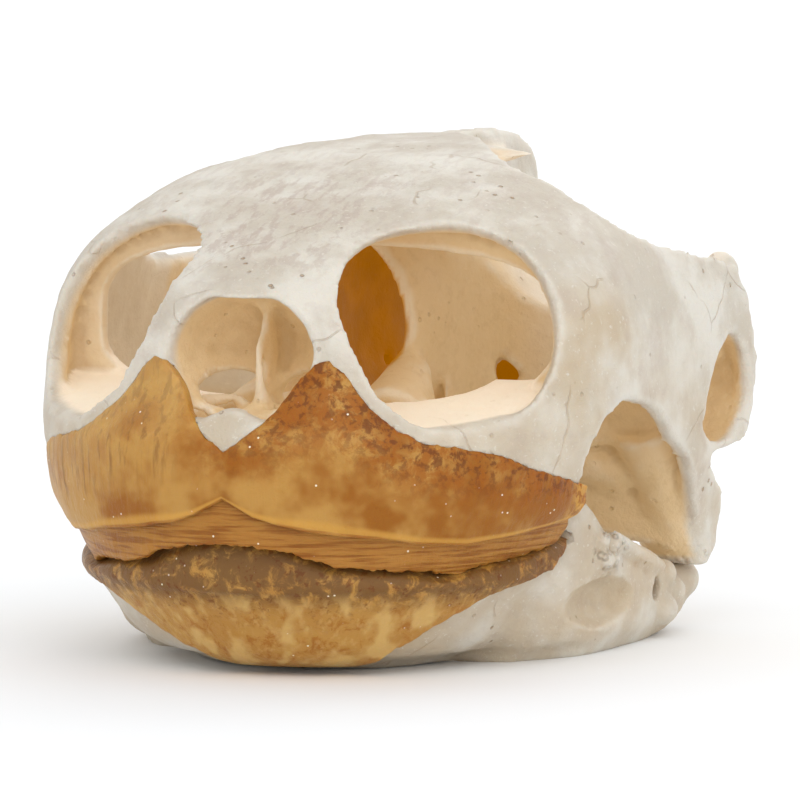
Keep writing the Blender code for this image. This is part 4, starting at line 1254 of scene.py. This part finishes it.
def bone_tags(item):
    """Marks vertices for the materials: inside the wall, for painted warm bounce light, shade and glow; lit orbit
    floors and other pale hollows, for painted light; the braincase, for painted warm light and glow; the forehead and
    the cheeks.
    """
    points = points_of(item)
    middle = np.array((0.0, 26.0, 21.0))
    away = points - middle
    distance = np.linalg.norm(away, axis=1)
    depth = reach(np.tile(middle, (len(points), 1)), away / distance[:, None]) - distance
    x, y, z = points.T
    normals = np.empty(len(points) * 3)
    item.data.vertex_normals.foreach_get("vector", normals)
    facing_up = smoothstep(0.4, 0.7, normals.reshape(-1, 3)[:, 2])
    hollow = smoothstep(0.7, 1.7, depth)
    # Painted light: the upward-facing orbit floors are marked to be painted bright cream with a pale painted glow.
    floor = facing_up * smoothstep(27.0, 24.0, y) * smoothstep(16.5, 18.0, z) * smoothstep(25.0, 23.5, z)
    floor = floor * smoothstep(0.6, 1.4, depth)
    floor = floor * smoothstep(6.0, 8.0, np.abs(x)) * np.maximum(smoothstep(8.2, 9.4, np.abs(x)), smoothstep(18.0, 15.0, y))
    # Painted light: the otic walls, the inside of the right orbit, rear-facing walls and hollows open to the roof are
    # marked pale, which takes the painted warm bounce light off them and gives them the pale painted glow.
    otic = smoothstep(36.0, 40.0, y) * smoothstep(7.0, 9.0, np.abs(x)) * smoothstep(19.0, 22.0, z)
    ear = smoothstep(17.0, 19.0, np.abs(x)) * smoothstep(39.0, 41.0, y)
    right = smoothstep(-6.0, -9.0, x) * smoothstep(16.0, 22.0, y) * smoothstep(18.0, 20.0, z)
    open_top = np.maximum(smoothstep(34.5, 37.0, z) * smoothstep(40.0, 43.0, y), smoothstep(48.5, 50.0, y) * (z > 26.0))
    rear = smoothstep(45.0, 49.0, y) * smoothstep(0.1, 0.5, normals.reshape(-1, 3)[:, 1])
    pale = np.maximum.reduce([floor, 0.6 * otic * (1.0 - ear), 0.6 * right * (1.0 - ear), 0.7 * rear, open_top])
    # The inner mark paints warm bounce light and shade in the hollows; the hollow mark sets the painted glow.
    tag(item, "hollow", hollow)
    tag(item, "inner", hollow * (1.0 - pale))
    tag(item, "floor", floor)
    # The braincase and the nerve tunnels are marked for painted warm light and a painted glow.
    half, low, high, square = (np.interp(y, *zip(*[(row[0], row[part]) for row in BRAINCASE])) for part in (1, 2, 3, 4))
    across = np.abs(x) / half
    upright = np.abs(z - (low + high) / 2.0) / ((high - low) / 2.0)
    inward = (1.0 - (across**square + upright**square) ** (1.0 / square)) * half
    within = smoothstep(0.55, 0.85, inward) * smoothstep(22.0, 24.0, y) * smoothstep(53.5, 51.5, y)
    across, fall = NERVE_SLANT
    aside = np.abs(x) - across * (y - NERVE_AT)
    level = z - fall * (y - NERVE_AT)
    tunnel = smoothstep(5.6, 6.2, aside) * smoothstep(10.8, 10.2, aside) * smoothstep(19.2, 19.8, level)
    tunnel = tunnel * smoothstep(24.6, 24.0, level) * smoothstep(38.9, 39.5, y) * smoothstep(52.0, 50.0, y)
    tag(item, "brain", np.maximum(within, tunnel))
    forehead = smoothstep(1.5, 6.0, y) * smoothstep(26.0, 16.0, y) * smoothstep(10.0, 4.0, np.abs(x + 1.0))
    tag(item, "roof", 0.35 * smoothstep(30.0, 36.0, z) + 0.65 * forehead)
    cheek = smoothstep(10.0, 4.0, np.linalg.norm(points - (24.0, 19.0, 23.5), axis=1))
    tag(item, "warm", np.maximum(0.75 * smoothstep(28.0, 17.0, z), cheek) * smoothstep(1.6, 0.4, depth))
    tag(item, "crust", 0.6 * smoothstep(8.0, 5.0, z))
    ridge_highlight_and_crease_shade_tag(item, 0.5)


class SKULL_OT_cranium(bpy.types.Operator):
    """Model the cranium: outer wall, orbits, nostril, temples, ears, braincase and palate"""

    bl_idname = "skull.cranium"
    bl_label = "Cranium"

    def execute(self, context):
        pieces = [shell(), maxilla(), orbit_flange(), palate(), braincase(), roof_web()] + nose_cup() + occiput()
        paired = ear_cup() + quadrate() + [wall_foot(), egg("corner_knob", *CORNER_KNOB)]
        pieces += paired + [mirrored(piece) for piece in paired]
        bone = fused("cranium_bone", pieces, sizes().bone_grain, 4)
        weathered(bone, ((5.0, 0.14), (1.3, 0.07)))
        combine(bone, [upper_seat()], "DIFFERENCE")
        bone_tags(bone)
        finish_piece(bone, ["cranium"], bone_material("cranium_bone"))
        return {"FINISHED"}


class SKULL_OT_mandible(bpy.types.Operator):
    """Model the bone of the lower jaw with its pits and nerve holes"""

    bl_idname = "skull.mandible"
    bl_label = "Lower jaw"

    def execute(self, context):
        bone = fused("jaw_bone", jaw_bone(), sizes().jaw_grain, 4)
        weathered(bone, ((4.0, 0.12), (1.1, 0.06)))
        combine(bone, [lower_seat(), block("rest", (-40, -20, -9), (40, 80, -0.85))], "DIFFERENCE")
        points = points_of(bone)
        # Painted warm bounce light in the cheek pit and on the upper rear of the jaw, through the inner mark.
        away = (np.abs(points) * (1.0, 0.0, 0.0) + points * (0.0, 1.0, 1.0) - CHEEK_PIT[0]) / CHEEK_PIT[1]
        pit = smoothstep(1.15, 0.85, np.linalg.norm(away, axis=1))
        joint = smoothstep(28.0, 34.0, points[:, 1]) * smoothstep(4.0, 7.0, points[:, 2])
        tag(bone, "inner", 0.30 * pit + 0.25 * joint)
        for unused in ("brain", "hollow", "floor"):
            tag(bone, unused, np.zeros(len(points)))
        tag(bone, "roof", np.full(len(points), 0.15))
        tag(bone, "warm", np.full(len(points), 0.85))
        patch = np.linalg.norm((np.abs(points) * (1.0, 0.0, 0.0) + points * (0.0, 1.0, 1.0) - JAW_CRUST[0]) / JAW_CRUST[1], axis=1)
        tag(bone, "crust", smoothstep(1.1, 0.7, patch))
        ridge_highlight_and_crease_shade_tag(bone, 0.4)
        finish_piece(bone, ["mandible"], bone_material("jaw_bone"))
        return {"FINISHED"}


class SKULL_OT_upper_beak(bpy.types.Operator):
    """Model the horny sheath of the upper jaw, with its ragged lip and flaky ends"""

    bl_idname = "skull.upper_beak"
    bl_label = "Upper beak"

    def execute(self, context):
        worn = sizes().raggedness / MM
        columns, rows = 481, 90
        turns, insets, levels = upper_grid(columns, sizes().horn_lift / MM, sizes().horn_wall / MM, 0.0, worn)
        insets = smooth_rows(insets, rows)
        levels = smooth_rows(levels, rows)
        around = np.tile(turns, (rows, 1))
        flakes = np.array([noise.noise(Vector((level / 0.7, 2.0, 4.0))) for level in levels[:, -1]])
        share = np.clip((np.abs(around) - 70.0) / 10.0, 0.0, 1.0) ** 2
        around = around + np.sign(around) * share * flakes[:, None] * 1.6
        points = section_at(around, insets, levels)
        flat = points.reshape(-1, 3)
        ridges = wander(flat * (1.0, 1.0, 0.25), 0.7, 1.0) * 0.035 + wander(flat, 2.6, 2.0) * 0.10
        face = smoothstep(0.4, 0.0, insets).ravel()
        heading = np.stack([np.sin(np.radians(around)), -np.cos(np.radians(around)), np.zeros_like(around)], axis=-1)
        flat = flat + heading.reshape(-1, 3) * (ridges * face)[:, None]
        points = flat.reshape(points.shape)
        edge = along(UPPER_EDGE, np.abs(turns))
        top = along(UPPER_TOP, np.abs(turns))
        height = np.clip((levels - edge) / (top - edge), 0.0, 1.0)
        lip = smoothstep(0.15, -0.25, levels - edge)
        tags = {"height": height.T, "turn": ((turns + 80.0) / 160.0)[:, None] * np.ones((1, rows)), "lip": lip.T}
        beak = skin("upper_beak_horn", points.transpose(1, 0, 2), tags)
        finish_piece(beak, ["upper_beak"], horn_material("upper_beak_horn", False))
        return {"FINISHED"}


class SKULL_OT_lower_beak(bpy.types.Operator):
    """Model the horny sheath of the lower jaw, wrapped round the chin"""

    bl_idname = "skull.lower_beak"
    bl_label = "Lower beak"

    def execute(self, context):
        worn = sizes().raggedness / MM
        turns, grid = lower_grid(401, 70, 0.4, sizes().horn_wall / MM, 0.0, worn)
        rings, heights, around = [], [], []
        for turn, (outer, inner, shares) in zip(turns, grid):
            push = wander(outer * (1.0, 1.0, 0.3), 0.8, 3.0) * 0.035 + wander(outer, 2.8, 4.0) * 0.10
            angle = math.radians(turn)
            face = smoothstep(0.0, 0.12, shares) * smoothstep(shares[-1], shares[-1] * 0.9, shares)
            outer = outer + np.array((math.sin(angle), -math.cos(angle), 0.0)) * (push * face)[:, None]
            rings.append(np.concatenate([outer, inner[::-1]]))
            heights.append(1.0 - np.concatenate([shares, shares[::-1]]))
            around.append(np.full(2 * len(shares), (turn + 80.0) / 160.0))
        tags = {"height": np.array(heights), "turn": np.array(around), "lip": np.zeros((len(rings), len(rings[0])))}
        beak = skin("lower_beak_horn", rings, tags)
        finish_piece(beak, ["lower_beak"], horn_material("lower_beak_horn", True))
        return {"FINISHED"}


def soft_light(name, origin, spread, strength):
    """An even light from a direction, as soft as a wide softbox."""
    bpy.ops.object.light_add(type="SUN", location=origin)
    lamp = bpy.context.object
    lamp.name = name
    lamp.data.energy = strength
    lamp.data.angle = math.radians(spread)
    lamp.rotation_mode = "QUATERNION"
    lamp.rotation_quaternion = (-Vector(origin)).to_track_quat("-Z", "Y")


class SKULL_OT_studio(bpy.types.Operator):
    """Add the pale floor, the soft lights and the camera"""

    bl_idname = "skull.studio"
    bl_label = "Studio"

    def execute(self, context):
        bpy.ops.object.select_all(action="DESELECT")
        bpy.ops.mesh.primitive_plane_add(size=sizes().floor_size)
        floor = fresh("floor")
        paper = Shader("floor_paper")
        paper.surface.inputs["Base Color"].default_value = (0.93, 0.945, 0.96, 1.0)
        paper.surface.inputs["Roughness"].default_value = 0.9
        floor.data.materials.append(paper.material)
        world = bpy.data.worlds.new("white_room")
        world.use_nodes = True
        world.node_tree.nodes["Background"].inputs["Color"].default_value = (1.0, 1.0, 1.0, 1.0)
        world.node_tree.nodes["Background"].inputs["Strength"].default_value = 0.84
        context.scene.world = world
        soft_light("key", (0.18, -0.60, 0.58), 60.0, 0.78)
        soft_light("fill", (0.80, -0.35, 0.38), 60.0, 0.40)
        soft_light("back", (0.0, 0.80, 0.48), 50.0, 0.52)
        self.aim_camera(context)
        context.scene.view_settings.view_transform = "Standard"
        return {"FINISHED"}

    def aim_camera(self, context):
        """Sets the camera at the photograph's angle."""
        turn = math.radians(22.0)
        tilt = math.radians(5.0)
        look = Vector((-math.sin(turn) * math.cos(tilt), math.cos(turn) * math.cos(tilt), -math.sin(tilt)))
        right = Vector((math.cos(turn), math.sin(turn), 0.0))
        rise = right.cross(look)
        target = (Vector((11.162, 7.53, 21.8)) + TO_PART) * MM
        bpy.ops.object.camera_add()
        camera = context.object
        camera.name = "camera"
        place = target - look * sizes().camera_distance
        camera.matrix_world = Matrix((
            (right.x, rise.x, -look.x, place.x),
            (right.y, rise.y, -look.y, place.y),
            (right.z, rise.z, -look.z, place.z),
            (0.0, 0.0, 0.0, 1.0),
        ))
        camera.data.sensor_width = 36.0
        camera.data.lens = 359.8
        camera.data.clip_start = 0.01
        context.scene.camera = camera


class SKULL_PT_panel(bpy.types.Panel):
    """Lists the skull's pieces in the sidebar"""

    bl_label = "Turtle Skull"
    bl_idname = "SKULL_PT_panel"
    bl_space_type = "VIEW_3D"
    bl_region_type = "UI"
    bl_category = "Skull"

    def draw(self, context):
        for group in (context.scene.skull_sizes, context.scene.skull_colours):
            for name in group.__annotations__:
                self.layout.prop(group, name)
        for step in STEPS:
            self.layout.operator(step.bl_idname)


STEPS = (SKULL_OT_cranium, SKULL_OT_mandible, SKULL_OT_upper_beak, SKULL_OT_lower_beak, SKULL_OT_studio)
CLASSES = (SkullSizes, SkullColours, *STEPS, SKULL_PT_panel)


def register():
    for made in CLASSES:
        bpy.utils.register_class(made)
    bpy.types.Scene.skull_sizes = bpy.props.PointerProperty(type=SkullSizes)
    bpy.types.Scene.skull_colours = bpy.props.PointerProperty(type=SkullColours)


def unregister():
    del bpy.types.Scene.skull_colours
    del bpy.types.Scene.skull_sizes
    for made in reversed(CLASSES):
        bpy.utils.unregister_class(made)


def main():
    """Builds every piece and the studio."""
    register()
    bpy.ops.skull.cranium()
    bpy.ops.skull.mandible()
    bpy.ops.skull.upper_beak()
    bpy.ops.skull.lower_beak()
    bpy.ops.skull.studio()


if __name__ == "__main__":
    main()
